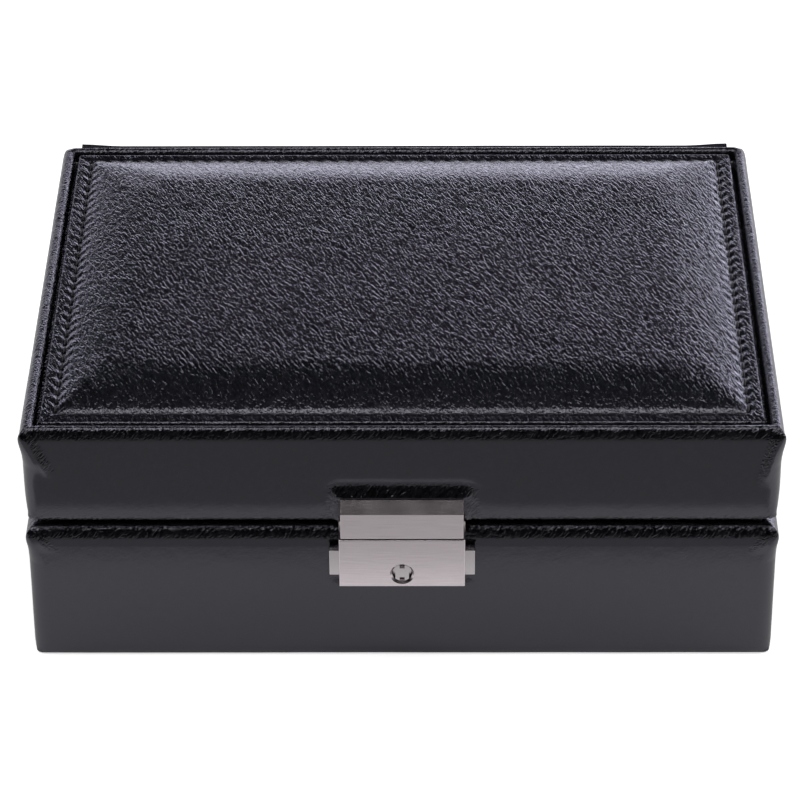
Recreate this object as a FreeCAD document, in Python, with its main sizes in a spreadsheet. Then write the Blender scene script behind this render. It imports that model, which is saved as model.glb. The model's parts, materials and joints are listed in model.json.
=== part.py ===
import FreeCAD
import Part
import Sketcher
import os

# Leather-covered cufflink box with a hinged lid, a push-button lock and a lift-out tray.
# Frame: +X to the right, +Y to the back, +Z up. The origin is the centre of the underside.

DIMENSIONS = {
    # The box over its leather
    "box_width": 199.0,
    "box_depth": 151.0,
    "base_height": 41.8,
    "seam_gap": 1.0,
    "lid_height": 29.5,
    "leather": 0.6,
    "padding": 0.5,
    "corner_round": 2.2,
    "edge_roll": 2.2,
    "turn_under": 12.0,
    "bottom_sheet": 0.8,
    "sheet_inset": 3.0,
    # Wooden boards
    "end_wall": 6.0,
    "side_wall": 4.0,
    "rim_wall": 2.0,
    "board_ease": 1.6,
    "board_roll": 1.9,
    "floor_board": 2.5,
    "ceiling_board": 2.5,
    # Panel let into the top of the lid
    "panel_depth": 4.1,
    "panel_board": 3.0,
    "panel_leather": 0.8,
    "panel_gap": 1.2,
    "panel_corner": 2.0,
    "panel_edge_roll": 1.0,
    "panel_margin": 4.1,
    "pillow_rise": 3.8,
    "pillow_slope": 6.0,
    "pillow_round": 2.0,
    # Fabric-covered lining cards
    "lining": 2.0,
    "lining_round": 0.8,
    "collar": 3.2,
    "collar_gap": 0.8,
    "ceiling_pad": 1.8,
    "floor_lining": 1.6,
    # Lift-out tray
    "tray_gap": 0.6,
    "tray_below_collar": 0.6,
    "tray_height": 16.8,
    "tray_wall": 2.0,
    "tray_floor": 1.6,
    "ledge": 3.0,
    "slat": 1.6,
    "slat_drop": 1.0,
    "slat_gap": 0.1,
    "ribbon": 0.4,
    "ribbon_width": 9.0,
    "ribbon_length": 13.0,
    "ribbon_stand": 1.2,
    # Hinge
    "hinge_length": 156.0,
    "knuckle_proud": 0.4,
    "opening_angle": 95.0,
    "leaf": 0.7,
    "leaf_width": 4.8,
    "knuckle_radius": 1.4,
    "knuckle_length": 26.0,
    "knuckle_gap": 0.3,
    "pin_radius": 0.6,
    "pin_clearance": 0.05,
    "hinge_nail_radius": 0.6,
    "hinge_nail_length": 8.0,
    "back_panel_width": 188.0,
    "back_panel": 1.6,
    "back_panel_below_rim": 1.0,
    "bevel_gap": 0.15,
    # Lock body
    "lock_width": 33.2,
    "lock_height": 14.9,
    "lock_drop": 1.5,
    "lock_proud": 4.5,
    "lock_wall": 1.1,
    "lock_rim": 0.6,
    "metal_round": 0.25,
    "lock_rear_wall": 0.7,
    "lock_seat": 0.1,
    "lock_sink": 1.6,
    "lock_plate": 0.8,
    "upstand_height": 3.5,
    "upstand": 0.8,
    # Buttons and the slides behind them
    "button_below_top": 4.2,
    "button_depth": 2.8,
    "button_travel": 2.0,
    "button_left": 0.6,
    "button_gap": 0.15,
    "button_above_bottom": 3.0,
    "flange": 1.2,
    "flange_lip": 0.9,
    "slide": 2.0,
    "slide_below_screw": 1.7,
    "slide_inner": 6.0,
    "slide_above_bottom": 2.2,
    "nose_free": 0.5,
    "nose_height": 2.6,
    "nose_below_top": 0.2,
    "spring_slot_height": 2.8,
    "spring_slot_above": 1.0,
    "spring_post": 0.8,
    "spring_radius": 0.9,
    "spring_wire": 0.16,
    "spring_turns": 3.0,
    # Key plug and cam
    "key_above_bottom": 4.0,
    "key_bore": 2.65,
    "key_clearance": 0.1,
    "key_recess": 0.6,
    "key_chamfer": 0.55,
    "key_boss": 3.7,
    "key_flat": 1.8,
    "key_notch": 1.3,
    "key_notch_depth": 1.2,
    "key_tail": 1.4,
    "cam_hub": 2.6,
    "cam_reach": 5.6,
    "cam_lobe": 3.2,
    # Hasp on the lid
    "hasp_width": 32.3,
    "hasp_height": 10.5,
    "hasp_gap": 0.4,
    "hasp_chamfer": 2.8,
    "tongue": 1.2,
    "tongue_from_face": 1.8,
    "tongue_depth": 8.9,
    "tongue_root": 6.7,
    "leg_inner": 8.0,
    "leg_outer": 11.7,
    "leg_bridge": 1.7,
    "notch_depth": 1.8,
    "notch_gap": 0.2,
    "leg_lead": 1.4,
    # Screws of the lock and the hasp
    "screw_radius": 0.8,
    "screw_head": 1.5,
    "screw_cone": 0.7,
    "screw_gap": 0.1,
    "lock_screw_x": 10.0,
    "lock_screw_below": 2.2,
    "lock_boss": 1.2,
    "hasp_screw_x": 9.0,
    "hasp_screw_below": 2.4,
    "hasp_screw_depth": 1.8,
    "backing_width": 27.0,
    "backing_height": 8.0,
}

COLUMNS = 5
ROWS = 4

LEVELS = {
    # Board frame
    "board_x": "dims.box_width / 2 - dims.leather - dims.padding",
    "board_y": "dims.box_depth / 2 - dims.leather - dims.padding",
    "inner_x": "levels.board_x - dims.side_wall",
    "inner_y": "levels.board_y - dims.end_wall",
    "back_y": "levels.board_y + dims.leather",
    # Heights, from the table upwards
    "base_low": "dims.bottom_sheet + dims.leather",
    "base_high": "dims.base_height - dims.leather",
    "floor_top": "levels.base_low + dims.floor_board",
    "well_floor": "levels.floor_top + dims.floor_lining",
    "collar_top": "dims.base_height + dims.collar",
    "pivot_z": "dims.base_height + dims.seam_gap / 2",
    "pivot_y": "levels.board_y + dims.knuckle_proud - dims.knuckle_radius",
    "lid_rim": "dims.base_height + dims.seam_gap",
    "lid_low": "levels.lid_rim + dims.leather",
    "lid_top": "levels.lid_rim + dims.lid_height",
    "lid_high": "levels.lid_top - dims.leather",
    "ceiling_top": "levels.lid_top - dims.panel_depth",
    "ceiling_low": "levels.ceiling_top - dims.ceiling_board",
    "lid_pad_low": "levels.ceiling_low - dims.ceiling_pad",
    "lid_lining_low": "levels.collar_top + dims.collar_gap",
    # Groove and panel in the top of the lid
    "groove_x": "levels.board_x - dims.rim_wall - dims.leather",
    "groove_y": "levels.board_y - dims.rim_wall - dims.leather",
    "panel_x": "levels.groove_x - dims.panel_gap - dims.panel_leather",
    "panel_y": "levels.groove_y - dims.panel_gap - dims.panel_leather",
    "panel_top": "levels.ceiling_top + dims.panel_board",
    "pillow_x": "levels.panel_x - dims.panel_margin",
    "pillow_y": "levels.panel_y - dims.panel_margin",
    # Inside of the lining, and the tray in it
    "lined_x": "levels.inner_x - dims.lining",
    "lined_y": "levels.inner_y - dims.lining",
    "tray_x": "levels.lined_x - dims.tray_gap",
    "tray_y": "levels.lined_y - dims.tray_gap",
    "tray_top": "levels.collar_top - dims.tray_below_collar",
    "tray_low": "levels.tray_top - dims.tray_height",
    "tray_inner_x": "levels.tray_x - dims.tray_wall",
    "tray_inner_y": "levels.tray_y - dims.tray_wall",
    "slat_low": "levels.tray_low + dims.tray_floor",
    "slat_top": "levels.tray_top - dims.slat_drop",
    # Lock, as depths in front of the middle of the box
    "leather_front": "dims.box_depth / 2",
    "lock_front": "levels.leather_front + dims.lock_proud",
    "cavity_front": "levels.lock_front - dims.lock_wall",
    "lock_back": "levels.board_y - dims.lock_sink + dims.lock_plate",
    "lock_top": "levels.pivot_z - dims.lock_drop",
    "lock_low": "levels.lock_top - dims.lock_height",
    "rear_half": "dims.lock_width / 2 - dims.lock_rim",
    "cavity_half": "levels.rear_half - dims.lock_rear_wall",
    "cavity_low": "levels.lock_low + dims.lock_rim + dims.lock_rear_wall",
    "cavity_top": "levels.lock_top - dims.lock_rim - dims.lock_rear_wall",
    "tongue_front": "levels.lock_front - dims.tongue_from_face",
    "tongue_back": "levels.tongue_front - dims.tongue",
    "slide_front": "levels.tongue_back - 2 * dims.notch_gap",
    "slide_back": "levels.slide_front - dims.slide",
    "slide_low": "levels.lock_low + dims.slide_above_bottom",
    "slide_top": "levels.lock_top - dims.lock_screw_below - dims.slide_below_screw",
    "nose_top": "levels.slide_top - dims.nose_below_top",
    "nose_low": "levels.nose_top - dims.nose_height",
    "flange_inner": "levels.cavity_half - dims.screw_gap - dims.flange",
    "spring_z": "levels.slide_low + dims.spring_slot_above + dims.spring_slot_height / 2",
    "button_low": "levels.lock_low + dims.button_above_bottom",
    "button_top": "levels.lock_top - dims.button_below_top",
    "button_front": "levels.cavity_front - dims.button_gap",
    "key_z": "levels.lock_low + dims.key_above_bottom",
    "lock_screw_z": "levels.lock_top - dims.lock_screw_below",
    # Hasp
    "hasp_low": "levels.lock_top + dims.hasp_gap",
    "hasp_top": "levels.hasp_low + dims.hasp_height",
    "tongue_low": "levels.hasp_low - dims.tongue_depth",
    "hasp_screw_z": "levels.hasp_top - dims.hasp_screw_below",
}

doc = FreeCAD.newDocument("CufflinkBox")

dims = doc.addObject("Spreadsheet::Sheet", "dims")
for row, (alias, number) in enumerate(DIMENSIONS.items(), start=1):
    dims.set(f"A{row}", alias)
    dims.set(f"B{row}", str(number))
    dims.setAlias(f"B{row}", alias)
doc.recompute()

levels = doc.addObject("App::VarSet", "levels")
for level_name, formula in LEVELS.items():
    levels.addProperty("App::PropertyFloat", level_name, "Levels", "")
    levels.setExpression(level_name, formula.replace("levels.", ""))
    doc.recompute()

subparts = []


def value(expression):
    """The number an expression on the sheet and the levels gives."""
    return float(dims.evalExpression(expression))


def keep(obj, label):
    """Marks a document object as a finished sub-part under its own name."""
    obj.Label = label
    subparts.append(obj)
    return obj


# ---------------------------------------------------------------- sketch helpers

def sketch_on(body, role, offset="0"):
    """An empty sketch on one of the body's own origin planes, moved along the plane's normal."""
    sketch = body.newObject("Sketcher::SketchObject", "sketch")
    plane = [item for item in body.Origin.OriginFeatures if item.Role == role][0]
    sketch.AttachmentSupport = [(plane, "")]
    sketch.MapMode = "FlatFace"
    sketch.setExpression("AttachmentOffset.Base.z", offset)
    return sketch


def bind(sketch, constraint, name, expression):
    index = sketch.addConstraint(constraint)
    sketch.renameConstraint(index, name)
    sketch.setExpression(f"Constraints.{name}", expression)


def add_polygon(sketch, points):
    """A closed outline whose every corner is bound to a pair of expressions."""
    first = sketch.GeometryCount
    corners = [FreeCAD.Vector(value(across), value(up), 0) for across, up in points]
    count = len(points)
    for index in range(count):
        edge = Part.LineSegment(corners[index], corners[(index + 1) % count])
        sketch.addGeometry(edge, False)
    for index in range(count):
        following = first + (index + 1) % count
        sketch.addConstraint(Sketcher.Constraint("Coincident", first + index, 2, following, 1))
    for index, (across, up) in enumerate(points):
        line = first + index
        x_place = Sketcher.Constraint("DistanceX", -1, 1, line, 1, corners[index].x)
        y_place = Sketcher.Constraint("DistanceY", -1, 1, line, 1, corners[index].y)
        bind(sketch, x_place, f"x{line}", across)
        bind(sketch, y_place, f"y{line}", up)


def add_circle(sketch, across, up, radius):
    place = FreeCAD.Vector(value(across), value(up), 0)
    round_edge = Part.Circle(place, FreeCAD.Vector(0, 0, 1), value(radius))
    index = sketch.addGeometry(round_edge, False)
    bind(sketch, Sketcher.Constraint("Radius", index, value(radius)), f"r{index}", radius)
    x_place = Sketcher.Constraint("DistanceX", -1, 1, index, 3, place.x)
    y_place = Sketcher.Constraint("DistanceY", -1, 1, index, 3, place.y)
    bind(sketch, x_place, f"cx{index}", across)
    bind(sketch, y_place, f"cy{index}", up)


def rectangle(left, right, low, high):
    return [(left, low), (right, low), (right, high), (left, high)]


def new_body(name):
    return doc.addObject("PartDesign::Body", name)


def pad(body, sketch, length, both_ways=False):
    feature = body.newObject("PartDesign::Pad", "pad")
    feature.Profile = sketch
    feature.Midplane = both_ways
    feature.setExpression("Length", length)
    doc.recompute()
    return feature


def pocket(body, sketch, length, along_normal=False, both_ways=False):
    """Cuts the sketch out of the body and checks that something was cut."""
    before = body.Shape.Volume
    feature = body.newObject("PartDesign::Pocket", "pocket")
    feature.Profile = sketch
    feature.Midplane = both_ways
    feature.Reversed = along_normal
    feature.setExpression("Length", length)
    doc.recompute()
    if body.Shape.Volume >= before:
        raise RuntimeError(f"{body.Name}: a pocket cut nothing")
    return feature


def edges_where(shape, test):
    """Names of the edges whose middle point and direction pass the test."""
    names = []
    for index, edge in enumerate(shape.Edges, start=1):
        middle = edge.valueAt((edge.FirstParameter + edge.LastParameter) / 2)
        along = edge.tangentAt((edge.FirstParameter + edge.LastParameter) / 2)
        if test(middle, along):
            names.append(f"Edge{index}")
    return names


def round_edges(body, feature, test, radius):
    fillet = body.newObject("PartDesign::Fillet", "fillet")
    fillet.Base = (feature, edges_where(feature.Shape, test))
    fillet.setExpression("Radius", radius)
    doc.recompute()
    return fillet


def near(number, expression):
    return abs(number - value(expression)) < 0.001


# ---------------------------------------------------------------- primitive helpers

def block(name, spans):
    """A box from low and high expressions along X, Y and Z."""
    box = doc.addObject("Part::Box", name)
    for (low, high), size, axis in zip(spans, ("Length", "Width", "Height"), "xyz"):
        box.setExpression(size, f"({high}) - ({low})")
        box.setExpression(f"Placement.Base.{axis}", low)
    doc.recompute()
    return box


def rod(name, place, axis, radius, length):
    """A cylinder that starts at a point and runs along +X, +Y or +Z."""
    turns = {
        "X": FreeCAD.Rotation(FreeCAD.Vector(0, 1, 0), 90),
        "Y": FreeCAD.Rotation(FreeCAD.Vector(1, 0, 0), -90),
        "Z": FreeCAD.Rotation(),
    }
    cylinder = doc.addObject("Part::Cylinder", name)
    cylinder.Placement.Rotation = turns[axis]
    cylinder.setExpression("Radius", radius)
    cylinder.setExpression("Height", length)
    for letter, expression in zip("xyz", place):
        cylinder.setExpression(f"Placement.Base.{letter}", expression)
    doc.recompute()
    return cylinder


def rounded(name, base, test, radius):
    fillet = doc.addObject("Part::Fillet", name)
    fillet.Base = base
    size = value(radius)
    numbers = [int(edge[4:]) for edge in edges_where(base.Shape, test)]
    fillet.Edges = [(number, size, size) for number in numbers]
    doc.recompute()
    return fillet


def joined(name, shapes):
    fuse = doc.addObject("Part::MultiFuse", name)
    fuse.Shapes = shapes
    doc.recompute()
    return fuse


def cut(name, base, tools):
    result = doc.addObject("Part::Cut", name)
    result.Base = base
    result.Tool = tools[0] if len(tools) == 1 else joined(f"{name}_tools", tools)
    doc.recompute()
    return result


def group(name, solids):
    """Several separate solids of one kind in one node."""
    compound = doc.addObject("Part::Compound", name)
    compound.Links = solids
    doc.recompute()
    return compound


def minus(expression):
    return f"-({expression})"


def mirrored_span(half):
    return (minus(half), half)


# ---------------------------------------------------------------- boards

SIDES = {
    "front": ((-1, -1), (1, -1)),
    "right": ((1, -1), (1, 1)),
    "back": ((1, 1), (-1, 1)),
    "left": ((-1, 1), (-1, -1)),
}


def mitred_plan(side, end_wall, side_wall):
    """Plan of one board of the frame, mitred at both ends, with its outer corners eased."""
    plan = []
    for place, (sign_x, sign_y) in enumerate(SIDES[side]):
        ease_x = f"{sign_x} * (levels.board_x - dims.board_ease)"
        ease_y = f"{sign_y} * (levels.board_y - dims.board_ease)"
        edge_x = f"{sign_x} * levels.board_x"
        edge_y = f"{sign_y} * levels.board_y"
        face = (ease_x, edge_y) if side in ("front", "back") else (edge_x, ease_y)
        half_x = f"{sign_x} * (levels.board_x - dims.board_ease / 2)"
        half_y = f"{sign_y} * (levels.board_y - dims.board_ease / 2)"
        plan += [(half_x, half_y), face] if place == 0 else [face, (half_x, half_y)]
    for sign_x, sign_y in reversed(SIDES[side]):
        inner_x = f"{sign_x} * (levels.board_x - {side_wall})"
        inner_y = f"{sign_y} * (levels.board_y - {end_wall})"
        plan.append((inner_x, inner_y))
    return plan


def outer_face_edges(side, low, high):
    """Tests for the two long edges of a board's outer face."""
    def test(middle, along):
        on_face = near(abs(middle.y), "levels.board_y") or near(abs(middle.x), "levels.board_x")
        level = near(middle.z, low) or near(middle.z, high)
        return on_face and level and abs(along.z) < 0.001
    return test


def wall_board(label, side, low, high, rim_from=None):
    """A mitred board; above rim_from only the thin rim goes on."""
    body = new_body(label)
    body_top = rim_from or high
    plan = sketch_on(body, "XY_Plane", low)
    add_polygon(plan, mitred_plan(side, "dims.end_wall", "dims.side_wall"))
    last = pad(body, plan, f"{body_top} - ({low})")
    if rim_from:
        rim_plan = sketch_on(body, "XY_Plane", rim_from)
        add_polygon(rim_plan, mitred_plan(side, "dims.rim_wall", "dims.rim_wall"))
        last = pad(body, rim_plan, f"{high} - ({rim_from})")
    round_edges(body, last, outer_face_edges(side, low, high), "dims.board_roll")
    return body


def base_boards():
    front = wall_board("base_front_board", "front", "levels.base_low", "levels.base_high")
    mortise = sketch_on(front, "XZ_Plane", "levels.board_y - dims.lock_sink")
    add_polygon(mortise, rectangle(
        "-levels.rear_half - dims.lock_seat", "levels.rear_half + dims.lock_seat",
        "levels.lock_low + dims.lock_rim - dims.lock_seat",
        "levels.lock_top - dims.lock_rim + dims.lock_seat"))
    pocket(front, mortise, "dims.lock_sink", along_normal=True)
    screw_holes(front, "dims.lock_screw_x", "levels.lock_screw_z", "dims.end_wall", True)
    keep(front, "base_front_board")

    hinge_seat = "levels.pivot_z - dims.knuckle_radius"
    keep(wall_board("base_back_board", "back", "levels.base_low", hinge_seat), "base_back_board")
    for side in ("left", "right"):
        label = f"base_{side}_board"
        keep(wall_board(label, side, "levels.base_low", "levels.base_high"), label)
    floor = block("base_floor_board", (
        mirrored_span("levels.inner_x"), mirrored_span("levels.inner_y"),
        ("levels.base_low", "levels.floor_top")))
    keep(floor, "base_floor_board")


def lid_boards():
    front = wall_board("lid_front_board", "front", "levels.lid_low", "levels.lid_high",
                       "levels.ceiling_low")
    recess = sketch_on(front, "XZ_Plane", "levels.inner_y")
    add_polygon(recess, backing_outline("dims.lock_seat"))
    pocket(front, recess, "dims.lock_plate", along_normal=True)
    screw_holes(front, "dims.hasp_screw_x", "levels.hasp_screw_z", "dims.end_wall", False)
    keep(front, "lid_front_board")

    hinge_seat = "levels.pivot_z + dims.knuckle_radius"
    for side, low in (("back", hinge_seat), ("left", "levels.lid_low"), ("right", "levels.lid_low")):
        label = f"lid_{side}_board"
        keep(wall_board(label, side, low, "levels.lid_high", "levels.ceiling_low"), label)
    ceiling = block("lid_ceiling_board", (
        mirrored_span("levels.board_x - dims.rim_wall"),
        mirrored_span("levels.board_y - dims.rim_wall"),
        ("levels.ceiling_low", "levels.ceiling_top")))
    keep(ceiling, "lid_ceiling_board")


def screw_holes(body, half_spacing, height, depth, countersunk):
    """Two clearance holes from the inside of a front board outwards, with or without head seats."""
    holes = sketch_on(body, "XZ_Plane", "levels.inner_y")
    for sign in ("-", ""):
        add_circle(holes, f"{sign}{half_spacing}", height, "dims.screw_radius + dims.screw_gap")
    drilled = pocket(body, holes, depth, along_normal=True)
    if countersunk:
        seats = body.newObject("PartDesign::Chamfer", "head_seats")

        def mouth(middle, along):
            beside = abs(middle.x) - value(half_spacing)
            return near(middle.y, "-levels.inner_y") and near(
                (beside ** 2 + (middle.z - value(height)) ** 2) ** 0.5,
                "dims.screw_radius + dims.screw_gap")

        seats.Base = (drilled, edges_where(drilled.Shape, mouth))
        seats.setExpression("Size", "dims.screw_cone")
        doc.recompute()


# ---------------------------------------------------------------- padding, covers, panels

def hinge_wedge(name, sign):
    """The V that stays free behind the hinge: above the bevel of the base, below that of the lid."""
    body = new_body(name)
    profile = sketch_on(body, "YZ_Plane")
    reach = "2 * dims.knuckle_radius"
    drop = f"{sign} * dims.bevel_gap / cos(dims.opening_angle / 2)"
    far = f"levels.pivot_y + {reach} + dims.back_panel"
    slope = f"{sign} * ({reach} + dims.back_panel) * tan(dims.opening_angle / 2)"
    add_polygon(profile, [
        ("levels.pivot_y", f"levels.pivot_z + {drop}"),
        (far, f"levels.pivot_z + {drop} + {slope}"),
        (far, f"levels.pivot_z - {sign} * {reach}"),
        ("levels.pivot_y", f"levels.pivot_z - {sign} * {reach}")])
    pad(body, profile, "dims.box_width + 2", both_ways=True)
    return body


def paddings():
    """Thin foam under the leather of the front and the two sides."""
    for part, low, high in (("base", "levels.base_low", "levels.base_high"),
                            ("lid", "levels.lid_low", "levels.lid_high")):
        heights = (f"{low} + dims.edge_roll", f"{high} - dims.edge_roll")
        front = block(f"{part}_foam_front", (
            mirrored_span("levels.board_x - dims.corner_round"),
            ("-levels.board_y - dims.padding", "-levels.board_y"), heights))
        window = block(f"{part}_foam_window", (
            mirrored_span("levels.rear_half + dims.lock_seat"),
            ("-levels.leather_front", "-levels.inner_y"), lock_window(part)))
        front = cut(f"{part}_foam_front_cut", front, [window])
        sides = []
        for sign in (-1, 1):
            near_face = f"{sign} * levels.board_x"
            far_face = f"{sign} * (levels.board_x + dims.padding)"
            span = (near_face, far_face) if sign > 0 else (far_face, near_face)
            sides.append(block(f"{part}_foam_side", (
                span, mirrored_span("levels.board_y - dims.corner_round"), heights)))
        keep(group(f"{part}_padding", [front] + sides), f"{part}_padding")


def lock_window(part):
    """Heights of the window in front foam and leather: round the lock body, or the hasp screws."""
    if part == "base":
        return ("levels.lock_low + dims.lock_rim - dims.lock_seat",
                "levels.lock_top - dims.lock_rim + dims.lock_seat")
    return ("levels.hasp_screw_z - 2 * dims.screw_radius",
            "levels.hasp_screw_z + 2 * dims.screw_radius")


def soft_box(name, half_x, front, back, low, high, lost="0"):
    """A box with rounded corners and rolled edges; lost is how much smaller its radii are."""
    blank = block(name, (mirrored_span(half_x), (minus(front), back), (low, high)))
    upright = rounded(f"{name}_corners", blank, lambda middle, along: abs(along.z) > 0.999,
                      f"dims.corner_round - {lost}")

    def on_rim(middle, along):
        return near(middle.z, low) or near(middle.z, high)

    return rounded(f"{name}_rolled", upright, on_rim, f"dims.edge_roll - {lost}")


def cover_outside(part, low, high):
    return soft_box(f"{part}_outside", "dims.box_width / 2", "levels.leather_front",
                    "levels.back_y", low, high)


def cover_inside(part, low, high):
    """The room that boards and foam take under the leather."""
    return soft_box(f"{part}_inside", "levels.board_x + dims.padding",
                    "levels.board_y + dims.padding", "levels.board_y", low, high,
                    "dims.leather")


def back_window(name):
    """The middle of the back, where the hinge and the back panels take the leather's place."""
    return block(name, (
        mirrored_span("dims.back_panel_width / 2 + dims.lock_seat"),
        ("levels.inner_y", "levels.back_y + 1"), ("0", "levels.lid_top + 1")))


def base_cover():
    outside = cover_outside("base", "dims.bottom_sheet", "dims.base_height")
    inside = cover_inside("base", "levels.base_low", "levels.base_high")
    mouth = block("base_mouth", (
        mirrored_span("levels.inner_x"), mirrored_span("levels.inner_y"),
        ("levels.base_low", "dims.base_height + 1")))
    underside = block("base_underside", (
        mirrored_span("levels.board_x - dims.turn_under"),
        mirrored_span("levels.board_y - dims.turn_under"), ("0", "levels.base_low + 1")))
    lock_hole = block("base_lock_hole", (
        mirrored_span("levels.rear_half + dims.lock_seat"),
        ("-levels.leather_front - 1", "-levels.board_y"), lock_window("base")))
    tools = [inside, mouth, underside, lock_hole, back_window("base_back_window"),
             hinge_wedge("base_wedge", -1)]
    keep(cut("base_cover", outside, tools), "base_cover")


def lid_cover():
    outside = cover_outside("lid", "levels.lid_rim", "levels.lid_top")
    panel_bed = block("lid_panel_bed", (
        mirrored_span("levels.groove_x + dims.leather"),
        mirrored_span("levels.groove_y + dims.leather"),
        ("levels.ceiling_top", "levels.lid_high")))
    inside = cut("lid_inside_rim", cover_inside("lid", "levels.lid_low", "levels.lid_high"),
                 [panel_bed])
    groove = block("lid_groove", (
        mirrored_span("levels.groove_x"), mirrored_span("levels.groove_y"),
        ("levels.ceiling_top", "levels.lid_top + 1")))
    mouth = block("lid_mouth", (
        mirrored_span("levels.inner_x"), mirrored_span("levels.inner_y"),
        ("levels.lid_rim - 1", "levels.lid_low + 1")))
    hasp_holes = block("lid_hasp_holes", (
        mirrored_span("dims.hasp_screw_x + 2 * dims.screw_radius"),
        ("-levels.leather_front - 1", "-levels.board_y"), lock_window("lid")))
    hinge_room = block("lid_hinge_room", (
        mirrored_span("dims.back_panel_width / 2 + dims.lock_seat"),
        ("levels.inner_y", "levels.back_y + 1"), ("0", "levels.lid_low + 2 * dims.leaf")))
    back_room = block("lid_back_room", (
        mirrored_span("dims.back_panel_width / 2 + dims.lock_seat"),
        ("levels.board_y", "levels.back_y + 1"), ("0", "levels.lid_top + 1")))
    tools = [inside, groove, mouth, hasp_holes, hinge_room, back_room,
             hinge_wedge("lid_wedge", 1)]
    keep(cut("lid_cover", outside, tools), "lid_cover")


def back_panels():
    """Leather-covered cards over the back, bevelled at the hinge so that they stop the open lid."""
    spans = {
        "base": ("levels.base_low", "levels.pivot_z", -1),
        "lid": ("levels.pivot_z", "levels.lid_top - dims.back_panel_below_rim", 1),
    }
    for part, (low, high, sign) in spans.items():
        card = block(f"{part}_back_card", (
            mirrored_span("dims.back_panel_width / 2"),
            ("levels.board_y", "levels.board_y + dims.back_panel"), (low, high)))
        panel = cut(f"{part}_back_panel", card, [hinge_wedge(f"{part}_panel_wedge", sign)])
        keep(panel, f"{part}_back_panel")


def bottom_sheet():
    sheet = block("bottom_sheet_blank", (
        mirrored_span("levels.board_x - dims.sheet_inset"),
        mirrored_span("levels.board_y - dims.sheet_inset"), ("0", "dims.bottom_sheet")))
    keep(rounded("bottom_sheet", sheet, lambda middle, along: abs(along.z) > 0.999,
                 "dims.corner_round"), "bottom_sheet")


def pillow(name, half_x, half_y, low, rise):
    """A raised pad: sloped at its stitched edge, flat on top, with a rounded shoulder."""
    frustum = doc.addObject("Part::Wedge", f"{name}_blank")
    top_x = f"({half_x} - dims.pillow_slope)"
    top_y = f"({half_y} - dims.pillow_slope)"
    sizes = {
        "Xmin": minus(half_x), "Xmax": half_x, "Zmin": minus(half_y), "Zmax": half_y,
        "X2min": minus(top_x), "X2max": top_x, "Z2min": minus(top_y), "Z2max": top_y,
        "Ymin": "0", "Ymax": rise,
    }
    for size, expression in sizes.items():
        frustum.setExpression(size, expression)
    frustum.Placement.Rotation = FreeCAD.Rotation(FreeCAD.Vector(1, 0, 0), 90)
    frustum.setExpression("Placement.Base.z", low)
    doc.recompute()
    return rounded(name, frustum, lambda middle, along: near(middle.z, f"{low} + {rise}"),
                   "dims.pillow_round")


def top_panel():
    board = block("panel_blank", (
        mirrored_span("levels.panel_x"), mirrored_span("levels.panel_y"),
        ("levels.ceiling_top", "levels.panel_top")))
    keep(rounded("top_panel_board", board, lambda middle, along: abs(along.z) > 0.999,
                 "dims.panel_corner"), "top_panel_board")
    foam = pillow("top_panel_pad", "levels.pillow_x", "levels.pillow_y",
                  "levels.panel_top", "dims.pillow_rise")
    keep(foam, "top_panel_pad")

    skin = block("panel_skin", (
        mirrored_span("levels.panel_x + dims.panel_leather"),
        mirrored_span("levels.panel_y + dims.panel_leather"),
        ("levels.ceiling_top", "levels.panel_top + dims.panel_leather")))
    skin = rounded("panel_skin_corners", skin, lambda middle, along: abs(along.z) > 0.999,
                   "dims.panel_corner")
    skin = rounded("panel_skin_edges", skin, lambda middle, along: near(
        middle.z, "levels.panel_top + dims.panel_leather"), "dims.panel_edge_roll")
    crown = pillow("panel_crown", "levels.pillow_x + dims.panel_leather",
                   "levels.pillow_y + dims.panel_leather",
                   "levels.panel_top + dims.panel_leather / 2",
                   "dims.pillow_rise + dims.panel_leather / 2")
    outside = joined("panel_outside", [skin, crown])
    board_room = block("panel_board_room", (
        mirrored_span("levels.panel_x"), mirrored_span("levels.panel_y"),
        ("levels.ceiling_top", "levels.panel_top")))
    board_room = rounded("panel_board_room_round", board_room,
                         lambda middle, along: abs(along.z) > 0.999, "dims.panel_corner")
    foam_room = pillow("panel_foam_room", "levels.pillow_x", "levels.pillow_y",
                       "levels.panel_top", "dims.pillow_rise")
    keep(cut("top_panel_leather", outside, [board_room, foam_room]), "top_panel_leather")


# ---------------------------------------------------------------- linings

def lining_cards(part, low, high, round_level):
    """Four fabric-covered cards: front and back run through, the sides stand between them."""
    ends = mirrored_span("levels.inner_x")
    between = mirrored_span("levels.lined_y")
    plans = {
        "front": (ends, ("-levels.inner_y", "-levels.lined_y")),
        "back": (ends, ("levels.lined_y", "levels.inner_y")),
        "left": (("-levels.inner_x", "-levels.lined_x"), between),
        "right": (("levels.lined_x", "levels.inner_x"), between),
    }
    for side, (across, along_y) in plans.items():
        label = f"{part}_lining_{side}"
        card = block(f"{label}_card", (across, along_y, (low, high)))
        long_way = "x" if side in ("front", "back") else "y"

        def free_edge(middle, along, way=long_way):
            return near(middle.z, round_level) and abs(getattr(along, way)) > 0.999

        keep(rounded(label, card, free_edge, "dims.lining_round"), label)


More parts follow.
